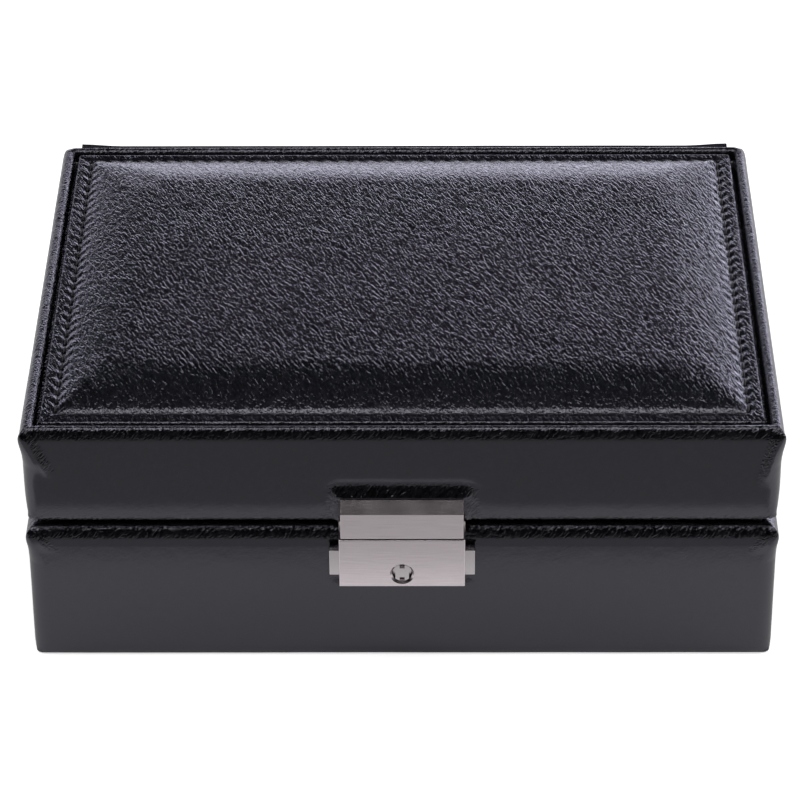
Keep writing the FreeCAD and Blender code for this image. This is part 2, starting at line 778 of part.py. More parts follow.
def linings():
    lining_cards("base", "levels.floor_top", "levels.collar_top", "levels.collar_top")
    lining_cards("lid", "levels.lid_lining_low", "levels.lid_pad_low", "levels.lid_lining_low")
    keep(block("base_floor_lining", (
        mirrored_span("levels.lined_x"), mirrored_span("levels.lined_y"),
        ("levels.floor_top", "levels.well_floor"))), "base_floor_lining")
    keep(block("lid_ceiling_pad", (
        mirrored_span("levels.inner_x"), mirrored_span("levels.inner_y"),
        ("levels.lid_pad_low", "levels.ceiling_low"))), "lid_ceiling_pad")
    ledges = []
    for sign in (-1, 1):
        wall = f"{sign} * levels.lined_x"
        edge = f"{sign} * (levels.lined_x - dims.ledge)"
        span = (edge, wall) if sign > 0 else (wall, edge)
        ledges.append(block("tray_ledge", (
            span, mirrored_span("levels.lined_y"), ("levels.well_floor", "levels.tray_low"))))
    keep(group("tray_ledges", ledges), "tray_ledges")


# ---------------------------------------------------------------- tray

def tray_walls():
    heights = ("levels.tray_low", "levels.tray_top")
    between = mirrored_span("levels.tray_inner_y")
    plans = {
        "front": (mirrored_span("levels.tray_x"), ("-levels.tray_y", "-levels.tray_inner_y")),
        "back": (mirrored_span("levels.tray_x"), ("levels.tray_inner_y", "levels.tray_y")),
        "left": (("-levels.tray_x", "-levels.tray_inner_x"), between),
        "right": (("levels.tray_inner_x", "levels.tray_x"), between),
    }
    for side, (across, along_y) in plans.items():
        label = f"tray_{side}"
        wall = block(f"{label}_blank", (across, along_y, heights))
        long_way = "x" if side in ("front", "back") else "y"

        def top_edge(middle, along, way=long_way):
            return near(middle.z, "levels.tray_top") and abs(getattr(along, way)) > 0.999

        keep(rounded(label, wall, top_edge, "dims.lining_round"), label)
    keep(block("tray_floor", (
        mirrored_span("levels.tray_inner_x"), mirrored_span("levels.tray_inner_y"),
        ("levels.tray_low", "levels.slat_low"))), "tray_floor")


def slat_centre(index, count, half):
    """Centre of one divider out of count - 1 that part a length into equal bays."""
    bay = f"(2 * {half} - {count - 1} * dims.slat) / {count}"
    return f"(-{half} + {index} * ({bay}) + ({index} - 0.5) * dims.slat)"


def slat_outline(half, crossings, notch_from_top):
    """Side view of a divider with a half-lap notch at each crossing divider."""
    middle = "(levels.slat_low + levels.slat_top) / 2"
    room = "(dims.slat / 2 + dims.slat_gap / 2)"
    bottom = [(minus(half), "levels.slat_low")]
    top = [(minus(half), "levels.slat_top")]
    for centre in crossings:
        left = f"{centre} - {room}"
        right = f"{centre} + {room}"
        if notch_from_top:
            depth = f"{middle} - dims.slat_gap / 2"
            top += [(left, "levels.slat_top"), (left, depth), (right, depth),
                    (right, "levels.slat_top")]
        else:
            depth = f"{middle} + dims.slat_gap / 2"
            bottom += [(left, "levels.slat_low"), (left, depth), (right, depth),
                       (right, "levels.slat_low")]
    bottom.append((half, "levels.slat_low"))
    top.append((half, "levels.slat_top"))
    return bottom + list(reversed(top))


def slats():
    """Egg-crate dividers: long ones along X notched from the top, cross ones from below."""
    columns = [slat_centre(index, COLUMNS, "levels.tray_inner_x") for index in range(1, COLUMNS)]
    rows = [slat_centre(index, ROWS, "levels.tray_inner_y") for index in range(1, ROWS)]
    long_slats = []
    for centre in rows:
        body = new_body("long_slat")
        outline = sketch_on(body, "XZ_Plane", minus(centre))
        add_polygon(outline, slat_outline("levels.tray_inner_x", columns, True))
        pad(body, outline, "dims.slat", both_ways=True)
        long_slats.append(body)
    keep(group("tray_long_slats", long_slats), "tray_long_slats")
    cross_slats = []
    for centre in columns:
        body = new_body("cross_slat")
        outline = sketch_on(body, "YZ_Plane", centre)
        add_polygon(outline, slat_outline("levels.tray_inner_y", rows, False))
        pad(body, outline, "dims.slat", both_ways=True)
        cross_slats.append(body)
    keep(group("tray_cross_slats", cross_slats), "tray_cross_slats")


def tray_pulls():
    """Flat ribbon loops against the front and back walls, standing a little above the tray."""
    loops = []
    for sign in (-1, 1):
        wall = f"{sign} * levels.tray_inner_y"
        room = f"{sign} * (levels.tray_inner_y - 3 * dims.ribbon)"
        span = (room, wall) if sign > 0 else (wall, room)
        low = "levels.tray_top + dims.ribbon_stand - dims.ribbon_length"
        high = "levels.tray_top + dims.ribbon_stand"
        width = mirrored_span("dims.ribbon_width / 2")
        outer = block("ribbon_outer", (width, span, (low, high)))
        outer = rounded("ribbon_fold", outer, lambda middle, along: near(
            middle.z, "levels.tray_top + dims.ribbon_stand") and abs(along.x) > 0.999,
            "dims.ribbon")
        slot = (f"{span[0]} + dims.ribbon", f"{span[1]} - dims.ribbon")
        inner = block("ribbon_slot", (width, slot, (f"{low} - 1", f"{high} - dims.ribbon")))
        loops.append(cut("ribbon_loop", outer, [inner]))
    keep(group("tray_pulls", loops), "tray_pulls")


# ---------------------------------------------------------------- hinge

def hinge_leaf(label, sign, first_knuckle):
    """One leaf of the long hinge: plate, knuckles on every second place, bore for the pin."""
    pitch = "dims.knuckle_length"
    knuckles = int(value("dims.hinge_length / (2 * dims.knuckle_length)") + 0.5)
    outer = f"levels.pivot_z + {sign} * dims.knuckle_radius"
    inner = f"levels.pivot_z + {sign} * (dims.knuckle_radius - dims.leaf)"
    low, high = (outer, inner) if sign < 0 else (inner, outer)
    near_pin = "levels.pivot_y - dims.knuckle_radius - dims.knuckle_gap"

    body = new_body(label)
    plate = sketch_on(body, "YZ_Plane")
    add_polygon(plate, rectangle("levels.pivot_y - dims.leaf_width", near_pin, low, high))
    pad(body, plate, "dims.hinge_length", both_ways=True)

    start = f"-dims.hinge_length / 2 + {first_knuckle} * {pitch} + dims.knuckle_gap / 2"
    tab = sketch_on(body, "YZ_Plane", start)
    add_polygon(tab, rectangle(f"{near_pin} - dims.leaf", "levels.pivot_y", low, high))
    tab_pad = pad(body, tab, f"{pitch} - dims.knuckle_gap")
    barrel = sketch_on(body, "YZ_Plane", start)
    add_circle(barrel, "levels.pivot_y", "levels.pivot_z", "dims.knuckle_radius")
    barrel_pad = pad(body, barrel, f"{pitch} - dims.knuckle_gap")

    row = body.newObject("PartDesign::LinearPattern", "row")
    row.Originals = [tab_pad, barrel_pad]
    row.Direction = (barrel, ["N_Axis"])
    row.setExpression("Length", f"2 * {pitch} * {knuckles - 1}")
    row.Occurrences = knuckles
    body.Tip = row
    doc.recompute()

    bore = sketch_on(body, "YZ_Plane")
    add_circle(bore, "levels.pivot_y", "levels.pivot_z", "dims.pin_radius + dims.pin_clearance")
    pocket(body, bore, "dims.hinge_length + 2", both_ways=True)

    holes = sketch_on(body, "XY_Plane", low)
    for place in nail_places():
        add_circle(holes, place, "levels.pivot_y - (dims.leaf_width + dims.knuckle_radius) / 2",
                   "dims.hinge_nail_radius")
    pocket(body, holes, "dims.leaf", along_normal=True)
    return keep(body, label)


def nail_places():
    """Hinge nails: one near each end and two between."""
    spacing = "(dims.hinge_length - dims.knuckle_length) / 3"
    return [f"({step} - 1.5) * {spacing}" for step in range(4)]


def hinge_nails():
    """Round pins through the leaves into the edges of the back boards."""
    across = "levels.pivot_y - (dims.leaf_width + dims.knuckle_radius) / 2"
    for part, sign in (("base", -1), ("lid", 1)):
        inner = f"levels.pivot_z + {sign} * (dims.knuckle_radius - dims.leaf)"
        tip = f"{inner} + {sign} * dims.hinge_nail_length"
        low = tip if sign < 0 else inner
        shanks = [rod("hinge_nail", (place, across, low), "Z", "dims.hinge_nail_radius",
                      "dims.hinge_nail_length") for place in nail_places()]
        keep(group(f"hinge_nails_{part}", shanks), f"hinge_nails_{part}")


def nail_holes(board, sign):
    """Holes for the hinge nails in the edge of a back board."""
    across = "levels.pivot_y - (dims.leaf_width + dims.knuckle_radius) / 2"
    holes = sketch_on(board, "XY_Plane", f"levels.pivot_z + {sign} * dims.knuckle_radius")
    for place in nail_places():
        add_circle(holes, place, across, "dims.hinge_nail_radius")
    pocket(board, holes, "dims.hinge_nail_length - dims.leaf", along_normal=sign > 0)


def hinge():
    hinge_leaf("hinge_leaf_base", -1, 0)
    hinge_leaf("hinge_leaf_lid", 1, 1)
    keep(rod("hinge_pin", ("-dims.hinge_length / 2", "levels.pivot_y", "levels.pivot_z"), "X",
             "dims.pin_radius", "dims.hinge_length"), "hinge_pin")
    nail_holes(doc.getObject("base_back_board"), -1)
    nail_holes(doc.getObject("lid_back_board"), 1)
    hinge_nails()


# ---------------------------------------------------------------- lock body

def lock_case():
    body = new_body("lock_case")
    face = sketch_on(body, "XZ_Plane", "levels.leather_front")
    half = "dims.lock_width / 2"
    add_polygon(face, rectangle(minus(half), half, "levels.lock_low", "levels.lock_top"))
    pad(body, face, "dims.lock_proud")

    rear = sketch_on(body, "XZ_Plane", "levels.lock_back")
    add_polygon(rear, rectangle(
        "-levels.rear_half", "levels.rear_half",
        "levels.lock_low + dims.lock_rim", "levels.lock_top - dims.lock_rim"))
    pad(body, rear, "levels.leather_front - levels.lock_back")

    upstand = sketch_on(body, "XZ_Plane", "levels.leather_front + dims.lock_seat")
    add_polygon(upstand, rectangle(
        minus(half), half, "levels.lock_top - dims.lock_wall",
        "levels.lock_top + dims.upstand_height"))
    pad(body, upstand, "dims.upstand")

    hollow = sketch_on(body, "XZ_Plane", "levels.lock_back")
    add_polygon(hollow, rectangle(
        "-levels.cavity_half", "levels.cavity_half", "levels.cavity_low", "levels.cavity_top"))
    pocket(body, hollow, "levels.cavity_front - levels.lock_back", along_normal=True)

    boss = sketch_on(body, "XZ_Plane", "levels.tongue_back + dims.notch_gap")
    add_circle(boss, "0", "levels.key_z", "dims.key_boss")
    pad(body, boss, "levels.cavity_front - levels.tongue_back - dims.notch_gap")

    posts = sketch_on(body, "XZ_Plane", "levels.lock_back")
    for sign in ("-", ""):
        add_circle(posts, f"{sign}dims.lock_screw_x", "levels.lock_screw_z", "dims.lock_boss")
    pad(body, posts, "levels.slide_front - levels.lock_back")
    pilots = sketch_on(body, "XZ_Plane", "levels.lock_back")
    for sign in ("-", ""):
        add_circle(pilots, f"{sign}dims.lock_screw_x", "levels.lock_screw_z",
                   "dims.screw_radius")
    pocket(body, pilots, "dims.slide", along_normal=True)

    slot = sketch_on(body, "XY_Plane", "levels.cavity_top")
    add_polygon(slot, rectangle(
        "-dims.leg_outer - 2 * dims.notch_gap", "dims.leg_outer + 2 * dims.notch_gap",
        "-levels.cavity_front", "-levels.tongue_back + dims.notch_gap"))
    pocket(body, slot, "2 * dims.lock_height", along_normal=True)

    windows = sketch_on(body, "YZ_Plane")
    add_polygon(windows, rectangle(
        "-levels.cavity_front", "-levels.button_front + dims.button_depth + dims.button_gap",
        "levels.button_low - dims.button_gap",
        "levels.button_top + dims.button_gap"))
    pocket(body, windows, "dims.lock_width + 2", both_ways=True)

    bore = sketch_on(body, "XZ_Plane", "levels.tongue_back")
    add_circle(bore, "0", "levels.key_z", "dims.key_bore")
    last = pocket(body, bore, "dims.lock_proud", along_normal=True)
    ease = body.newObject("PartDesign::Chamfer", "chamfer")
    front = value("-levels.lock_front")
    ease.Base = (last, edges_where(last.Shape, lambda middle, along: abs(
        middle.y - front) < 0.001 and abs(middle.x) < 3 and middle.z < value("levels.lock_top - 3")
        and middle.z > value("levels.lock_low + 1")))
    ease.setExpression("Size", "dims.key_chamfer")
    doc.recompute()

    def face_outline(middle, along):
        return near(middle.y, "-levels.lock_front") and (
            near(abs(middle.x), half) or near(middle.z, "levels.lock_low")
            or near(middle.z, "levels.lock_top"))

    round_edges(body, ease, face_outline, "dims.metal_round")
    return keep(body, "lock_case")


def lock_back_plate():
    """Closes the lock from behind and carries the posts that the springs push against."""
    body = new_body("lock_back_plate")
    plate = sketch_on(body, "XZ_Plane", "levels.lock_back - dims.lock_plate")
    add_polygon(plate, rectangle(
        "-levels.rear_half", "levels.rear_half",
        "levels.lock_low + dims.lock_rim", "levels.lock_top - dims.lock_rim"))
    pad(body, plate, "dims.lock_plate")
    posts = sketch_on(body, "XZ_Plane", "levels.lock_back")
    half = "(dims.spring_slot_height / 2 - dims.spring_post / 2)"
    for sign in (-1, 1):
        inner = f"{sign} * (dims.slide_inner + dims.spring_slot_above + dims.notch_gap)"
        outer = f"{inner} + {sign} * dims.spring_post"
        left, right = (outer, inner) if sign < 0 else (inner, outer)
        add_polygon(posts, rectangle(
            left, right, f"levels.spring_z - {half}", f"levels.spring_z + {half}"))
    pad(body, posts, "levels.slide_front - levels.lock_back")
    holes = sketch_on(body, "XZ_Plane", "levels.lock_back - dims.lock_plate")
    for sign in ("-", ""):
        add_circle(holes, f"{sign}dims.lock_screw_x", "levels.lock_screw_z",
                   "dims.screw_radius + dims.screw_gap")
    add_circle(holes, "0", "levels.key_z", "dims.key_tail + dims.pin_clearance")
    pocket(body, holes, "dims.lock_plate", along_normal=True)
    return keep(body, "lock_back_plate")


def button(side, sign):
    """A push button: its head stands out of the lock's side, its flange keeps it in."""
    body = new_body(f"{side}_button")
    depth = ("-levels.button_front", "-levels.button_front + dims.button_depth")
    height = ("levels.button_low", "levels.button_top")
    inner = "levels.flange_inner"
    head_end = "dims.lock_width / 2 + dims.button_travel + dims.button_left"
    head = sketch_on(body, "YZ_Plane", inner if sign > 0 else minus(head_end))
    add_polygon(head, rectangle(depth[0], depth[1], height[0], height[1]))
    last = pad(body, head, f"{head_end} - {inner}")
    flange = sketch_on(body, "YZ_Plane", inner if sign > 0 else f"-{inner} - dims.flange")
    add_polygon(flange, rectangle(
        depth[0], depth[1], f"{height[0]} - dims.flange_lip", f"{height[1]} + dims.flange_lip"))
    last = pad(body, flange, "dims.flange")
    outer_face = value(head_end)
    round_edges(body, last, lambda middle, along: abs(abs(middle.x) - outer_face) < 0.001,
                "dims.notch_gap")
    return keep(body, f"{side}_button")


def latch_slide(side, sign):
    """The plate behind each button: window for its spring, nose that holds the tongue."""
    body = new_body(f"{side}_latch")

    def across(expression):
        return f"{sign} * ({expression})"

    plate = sketch_on(body, "XZ_Plane", "levels.slide_back")
    add_polygon(plate, rectangle(
        across("dims.slide_inner"), across("levels.flange_inner"),
        "levels.slide_low", "levels.slide_top"))
    pad(body, plate, "dims.slide")
    window = sketch_on(body, "XZ_Plane", "levels.slide_back")
    add_polygon(window, rectangle(
        across("dims.slide_inner + dims.spring_slot_above"),
        across("levels.flange_inner - dims.spring_post"),
        "levels.slide_low + dims.spring_slot_above",
        "levels.slide_low + dims.spring_slot_above + dims.spring_slot_height"))
    pocket(body, window, "dims.slide", along_normal=True)
    nose = sketch_on(body, "XZ_Plane", "levels.slide_front")
    tip = "dims.leg_inner + dims.button_travel - dims.nose_free"
    add_polygon(nose, [
        (across("dims.slide_inner"), "levels.nose_low"),
        (across(tip), "levels.nose_low"),
        (across(tip), "levels.nose_low + dims.nose_height / 2"),
        (across(f"{tip} - dims.nose_height / 2"), "levels.nose_top"),
        (across("dims.slide_inner"), "levels.nose_top")])
    pad(body, nose, "levels.tongue_front - levels.slide_front")
    return keep(body, f"{side}_latch")


def spring(side, sign):
    """A small square-wire compression spring that pushes its slide outwards."""
    wire = value("dims.spring_wire")
    radius = value("dims.spring_radius")
    start = value("dims.slide_inner + dims.spring_slot_above + dims.notch_gap + dims.spring_post")
    length = value("levels.flange_inner - dims.spring_post") - start - 2 * wire
    helix = Part.makeHelix(length / value("dims.spring_turns"), length, radius)
    corners = [FreeCAD.Vector(radius + wire * across, 0, wire * up)
               for across, up in ((-1, -1), (1, -1), (1, 1), (-1, 1), (-1, -1))]
    section = Part.makePolygon(corners)
    coil = doc.addObject("Part::Feature", f"{side}_spring")
    coil.Shape = Part.Wire(helix.Edges).makePipeShell([section], True, True)
    turn = FreeCAD.Rotation(FreeCAD.Vector(0, 1, 0), 90 * sign)
    middle = value("levels.slide_back + dims.slide / 2")
    place = FreeCAD.Vector(sign * (start + wire), -middle, value("levels.spring_z"))
    coil.Placement = FreeCAD.Placement(place, turn)
    return keep(coil, f"{side}_spring")


def key_plug():
    """The plug that the key turns: flats at its sides, a notch above and below, a thin tail."""
    body = new_body("key_plug")
    radius = "dims.key_bore - dims.key_clearance"
    back = "levels.slide_front + dims.notch_gap"
    barrel = sketch_on(body, "XZ_Plane", back)
    add_circle(barrel, "0", "levels.key_z", radius)
    pad(body, barrel, f"levels.lock_front - dims.key_recess - ({back})")
    tail = sketch_on(body, "XZ_Plane", "levels.lock_back - dims.lock_plate")
    add_circle(tail, "0", "levels.key_z", "dims.key_tail")
    pad(body, tail, f"{back} - levels.lock_back + dims.lock_plate")
    depth = "2 * dims.key_recess"
    shape = sketch_on(body, "XZ_Plane", f"levels.lock_front - dims.key_recess - {depth}")
    for sign in ("-", ""):
        flat = f"{sign}dims.key_flat"
        far = f"{sign}2 * dims.key_bore"
        add_polygon(shape, rectangle(
            flat, far, "levels.key_z - dims.key_bore", "levels.key_z + dims.key_bore"))
        floor = f"levels.key_z + ({sign}1) * (dims.key_bore - dims.key_notch_depth)"
        out = f"levels.key_z + ({sign}1) * 2 * dims.key_bore"
        add_polygon(shape, rectangle("-dims.key_notch / 2", "dims.key_notch / 2", floor, out))
    pocket(body, shape, f"2 * {depth}", along_normal=True)
    return keep(body, "key_plug")


def key_cam():
    """One lobe on the plug's tail: it points up when the lock is free, sideways when locked."""
    body = new_body("key_cam")
    hub = sketch_on(body, "XZ_Plane", "levels.slide_back")
    add_circle(hub, "0", "levels.key_z", "dims.cam_hub")
    pad(body, hub, "dims.slide")
    lobe = sketch_on(body, "XZ_Plane", "levels.slide_back")
    half = "dims.cam_lobe / 2"
    shoulder = "levels.key_z + sqrt(dims.cam_reach * dims.cam_reach - dims.cam_lobe *" \
               " dims.cam_lobe / 4)"
    add_polygon(lobe, [(minus(half), "levels.key_z"), (half, "levels.key_z"), (half, shoulder),
                       (minus(half), shoulder)])
    pad(body, lobe, "dims.slide")
    bore = sketch_on(body, "XZ_Plane", "levels.slide_back")
    add_circle(bore, "0", "levels.key_z", "dims.key_tail")
    pocket(body, bore, "dims.slide", along_normal=True)
    return keep(body, "key_cam")


# ---------------------------------------------------------------- hasp

def hasp_cover():
    """The block on the lid: chamfered top, slot below for the tongue, room for the upstand."""
    body = new_body("hasp_cover")
    profile = sketch_on(body, "YZ_Plane")
    step = "levels.lock_top + dims.upstand_height + 2 * dims.hasp_gap"
    upstand = "-levels.leather_front - dims.lock_seat - dims.upstand - dims.hasp_gap"
    add_polygon(profile, [
        ("-levels.lock_front", "levels.hasp_low"),
        ("-levels.lock_front", "levels.hasp_top - dims.hasp_chamfer"),
        ("-levels.lock_front + dims.hasp_chamfer", "levels.hasp_top"),
        ("-levels.leather_front", "levels.hasp_top"),
        ("-levels.leather_front", step), (upstand, step), (upstand, "levels.hasp_low")])
    pad(body, profile, "dims.hasp_width", both_ways=True)
    slot = sketch_on(body, "XY_Plane", "levels.hasp_low")
    add_polygon(slot, rectangle(
        "-dims.leg_outer", "dims.leg_outer", "-levels.tongue_front", "-levels.tongue_back"))
    pocket(body, slot, "dims.tongue_root", along_normal=True)
    pilots = sketch_on(body, "XZ_Plane", "levels.leather_front")
    for sign in ("-", ""):
        add_circle(pilots, f"{sign}dims.hasp_screw_x", "levels.hasp_screw_z",
                   "dims.screw_radius")
    last = pocket(body, pilots, "dims.hasp_screw_depth", along_normal=True)

    def seen_edges(middle, along):
        beside = near(abs(middle.x), "dims.hasp_width / 2")
        front = near(middle.y, "-levels.lock_front")
        slanted = near(middle.y, "-levels.lock_front + dims.hasp_chamfer / 2")
        return beside and (front or slanted) or front and near(middle.z, "levels.hasp_low")

    round_edges(body, last, seen_edges, "dims.metal_round")
    return keep(body, "hasp_cover")


def hasp_tongue():
    """A U of steel plate: two legs with notches that the latch noses spring into."""
    body = new_body("hasp_tongue")
    outline = sketch_on(body, "XZ_Plane", "levels.tongue_back")
    high = "levels.hasp_low + dims.tongue_root"
    bridge = "levels.hasp_low - dims.leg_bridge"
    notch = "dims.leg_inner + dims.notch_depth"
    right_leg = [
        ("dims.leg_outer", "levels.tongue_low"),
        ("dims.leg_inner + dims.leg_lead", "levels.tongue_low"),
        ("dims.leg_inner", "levels.tongue_low + dims.leg_lead"),
        ("dims.leg_inner", "levels.nose_low - dims.notch_gap"),
        (notch, "levels.nose_low - dims.notch_gap"),
        (notch, "levels.nose_top + dims.notch_gap"),
        ("dims.leg_inner", "levels.nose_top + dims.notch_gap"),
        ("dims.leg_inner", bridge),
    ]
    left_leg = [(minus(across), up) for across, up in reversed(right_leg)]
    top = [("-dims.leg_outer", high), ("dims.leg_outer", high)]
    add_polygon(outline, right_leg + left_leg + top)
    pad(body, outline, "dims.tongue")
    return keep(body, "hasp_tongue")


def backing_outline(clearance="0"):
    half = f"(dims.backing_width / 2 + {clearance})"
    low = f"levels.hasp_screw_z - dims.backing_height / 2 - {clearance}"
    high = f"levels.hasp_screw_z + dims.backing_height / 2 + {clearance}"
    return rectangle(minus(half), half, low, high)


def hasp_backing_plate():
    body = new_body("hasp_backing_plate")
    plate = sketch_on(body, "XZ_Plane", "levels.inner_y")
    add_polygon(plate, backing_outline())
    pad(body, plate, "dims.lock_plate")
    screw_holes(body, "dims.hasp_screw_x", "levels.hasp_screw_z", "dims.lock_plate", True)
    return keep(body, "hasp_backing_plate")


def screws(label, half_spacing, height, tip):
    """Two countersunk screws from the inside of a front board outwards to their tips."""
    pair = []
    for sign in ("-", ""):
        head = doc.addObject("Part::Cone", "screw_head")
        head.Placement.Rotation = FreeCAD.Rotation(FreeCAD.Vector(1, 0, 0), 90)
        head.setExpression("Radius1", "dims.screw_head")
        head.setExpression("Radius2", "dims.screw_radius")
        head.setExpression("Height", "dims.screw_cone")
        head.setExpression("Placement.Base.x", f"{sign}{half_spacing}")
        head.setExpression("Placement.Base.y", "-levels.inner_y")
        head.setExpression("Placement.Base.z", height)
        shank = rod("screw_shank", (f"{sign}{half_spacing}", f"-({tip})", height), "Y",
                    "dims.screw_radius", f"{tip} - levels.inner_y")
        pair.append(joined("screw", [head, shank]))
    keep(group(label, pair), label)


# ---------------------------------------------------------------- the whole box

base_boards()
lid_boards()
paddings()
base_cover()
lid_cover()
back_panels()
bottom_sheet()
top_panel()
linings()
tray_walls()
slats()
tray_pulls()
hinge()
lock_case()
lock_back_plate()
for button_side, button_sign in (("left", -1), ("right", 1)):
    button(button_side, button_sign)
    latch_slide(button_side, button_sign)
    spring(button_side, button_sign)
key_plug()
key_cam()
hasp_cover()
hasp_tongue()
hasp_backing_plate()
screws("lock_screws", "dims.lock_screw_x", "levels.lock_screw_z", "levels.lock_back + dims.slide")
screws("hasp_screws", "dims.hasp_screw_x", "levels.hasp_screw_z",
       "levels.leather_front + dims.hasp_screw_depth")

doc.recompute()
for item in doc.Objects:
    if "Invalid" in item.State or "Error" in item.State:
        raise RuntimeError(f"{item.Label} did not build: {item.State}")
os.makedirs("parts", exist_ok=True)
for item in subparts:
    if item.Shape.isNull() or not item.Shape.isValid():
        raise RuntimeError(f"{item.Label} has no valid shape")
    item.Shape.exportStep(f"parts/{item.Label}.step")
print(f"{len(subparts)} sub-parts written")
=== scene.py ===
import json
import math

import bmesh
import bpy
import numpy as np
from mathutils import Matrix, Vector, noise
from mathutils.geometry import delaunay_2d_cdt

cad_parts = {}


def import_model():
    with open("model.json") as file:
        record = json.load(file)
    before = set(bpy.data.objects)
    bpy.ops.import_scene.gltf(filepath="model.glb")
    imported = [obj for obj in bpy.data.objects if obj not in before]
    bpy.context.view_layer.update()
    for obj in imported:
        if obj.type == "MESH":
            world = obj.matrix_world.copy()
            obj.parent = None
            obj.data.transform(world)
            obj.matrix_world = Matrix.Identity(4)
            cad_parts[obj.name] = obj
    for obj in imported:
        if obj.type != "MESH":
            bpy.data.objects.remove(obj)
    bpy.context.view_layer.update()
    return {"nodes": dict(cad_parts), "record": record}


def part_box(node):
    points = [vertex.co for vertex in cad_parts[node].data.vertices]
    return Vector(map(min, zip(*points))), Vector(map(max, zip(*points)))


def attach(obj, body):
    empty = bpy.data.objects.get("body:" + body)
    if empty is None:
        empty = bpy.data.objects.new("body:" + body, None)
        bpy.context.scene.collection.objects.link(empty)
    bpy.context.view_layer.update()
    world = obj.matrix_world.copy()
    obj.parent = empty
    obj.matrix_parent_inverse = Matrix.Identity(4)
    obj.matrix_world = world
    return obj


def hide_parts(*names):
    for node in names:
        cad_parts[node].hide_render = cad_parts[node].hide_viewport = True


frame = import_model()

# A leather-covered cufflink box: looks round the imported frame. Shapes are worked out in
# millimetres in the frame's own axes (+X right, +Y back, +Z up) and written in metres.
MM = 0.001


def extent(node):
    """Lowest and highest corner of a CAD node in millimetres."""
    low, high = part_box(node)
    return np.array(low) / MM, np.array(high) / MM


# ---------------------------------------------------------------- sizes from the frame

base_low_corner, base_high_corner = extent("base_cover")
lid_low_corner, lid_high_corner = extent("lid_cover")
panel_low_corner, panel_high_corner = extent("top_panel_board")
hasp_low_corner, hasp_high_corner = extent("hasp_cover")
lock_low_corner, lock_high_corner = extent("lock_case")
mouth_half_x = extent("base_lining_right")[1][0]
mouth_half_y = extent("base_lining_back")[1][1]
pillow_top = extent("top_panel_pad")[1][2]

half_x = base_high_corner[0]
front_y = base_low_corner[1]
back_y = base_high_corner[1]
side_wall = half_x - mouth_half_x     # from the leather's outside to the lining cards
front_wall = -mouth_half_y - front_y
back_wall = back_y - mouth_half_y
base_bottom, base_rim = base_low_corner[2], base_high_corner[2]
lid_bottom, lid_rim = lid_low_corner[2], lid_high_corner[2]
groove_floor, panel_top = panel_low_corner[2], panel_high_corner[2]
PANEL_CLEAR = 1.2                     # gap between the lid's panel and the rim round it
groove_inset = half_x - extent("top_panel_leather")[1][0] - PANEL_CLEAR
panel_right = half_x - groove_inset - PANEL_CLEAR
panel_front = front_y + groove_inset + PANEL_CLEAR
panel_back = back_y - groove_inset - PANEL_CLEAR
hinge_half = extent("base_back_panel")[1][0]
leaf_half = extent("hinge_leaf_base")[1][0]
HINGE_CLEAR = 0.6                     # room in front of the hinge's leaves
hinge_front = extent("hinge_leaf_base")[0][1] - HINGE_CLEAR


# ---------------------------------------------------------------- mesh helpers

def make_piece(name, points, faces, material, body, grain=None):
    """A smooth mesh piece from points in millimetres, riding on a CAD body."""
    mesh = bpy.data.meshes.new(name)
    mesh.from_pydata([tuple(p) for p in np.asarray(points) * MM], [], faces)
    mesh.polygons.foreach_set("use_smooth", [True] * len(mesh.polygons))
    mesh.materials.append(material)
    if grain is not None:
        mesh.attributes.new("grain", "FLOAT", "POINT").data.foreach_set("value", grain)
    piece = bpy.data.objects.new(name, mesh)
    bpy.context.scene.collection.objects.link(piece)
    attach(piece, body)
    return piece


def face_outwards(piece):
    """Makes the faces agree on which side is outside."""
    work = bmesh.new()
    work.from_mesh(piece.data)
    bmesh.ops.recalc_face_normals(work, faces=work.faces)
    work.to_mesh(piece.data)
    work.free()


def smoothstep(value, low, high):
    """0 below low, 1 above high and a soft step between."""
    t = np.clip((value - low) / (high - low), 0, 1)
    return t * t * (3 - 2 * t)


def noise_at(points, wavelength, seed):
    """Smooth noise from -1 to 1 at points in millimetres."""
    shift = Vector((seed * 7.31, seed * 3.17, seed * 5.73))
    return np.array([noise.noise(Vector(p) / wavelength + shift) for p in points])


# ---------------------------------------------------------------- rounded rectangles

CORNER_STEPS = 12                     # points round each corner
COARSE_STEP = 1.3                     # spacing of points along the middle of a wall
FINE_STEP = 0.42                      # and near its ends, where the folds are
FINE_REACH = 17.0                     # how far from its ends the spacing is fine


def spacing(length, fine, coarse):
    """Fractions along a wall, closer together near both ends."""
    places = [0.0]
    while places[-1] < length:
        near_end = min(places[-1], length - places[-1]) < FINE_REACH
        places.append(places[-1] + (fine if near_end else coarse))
    return np.array(places[:-1]) / places[-1]


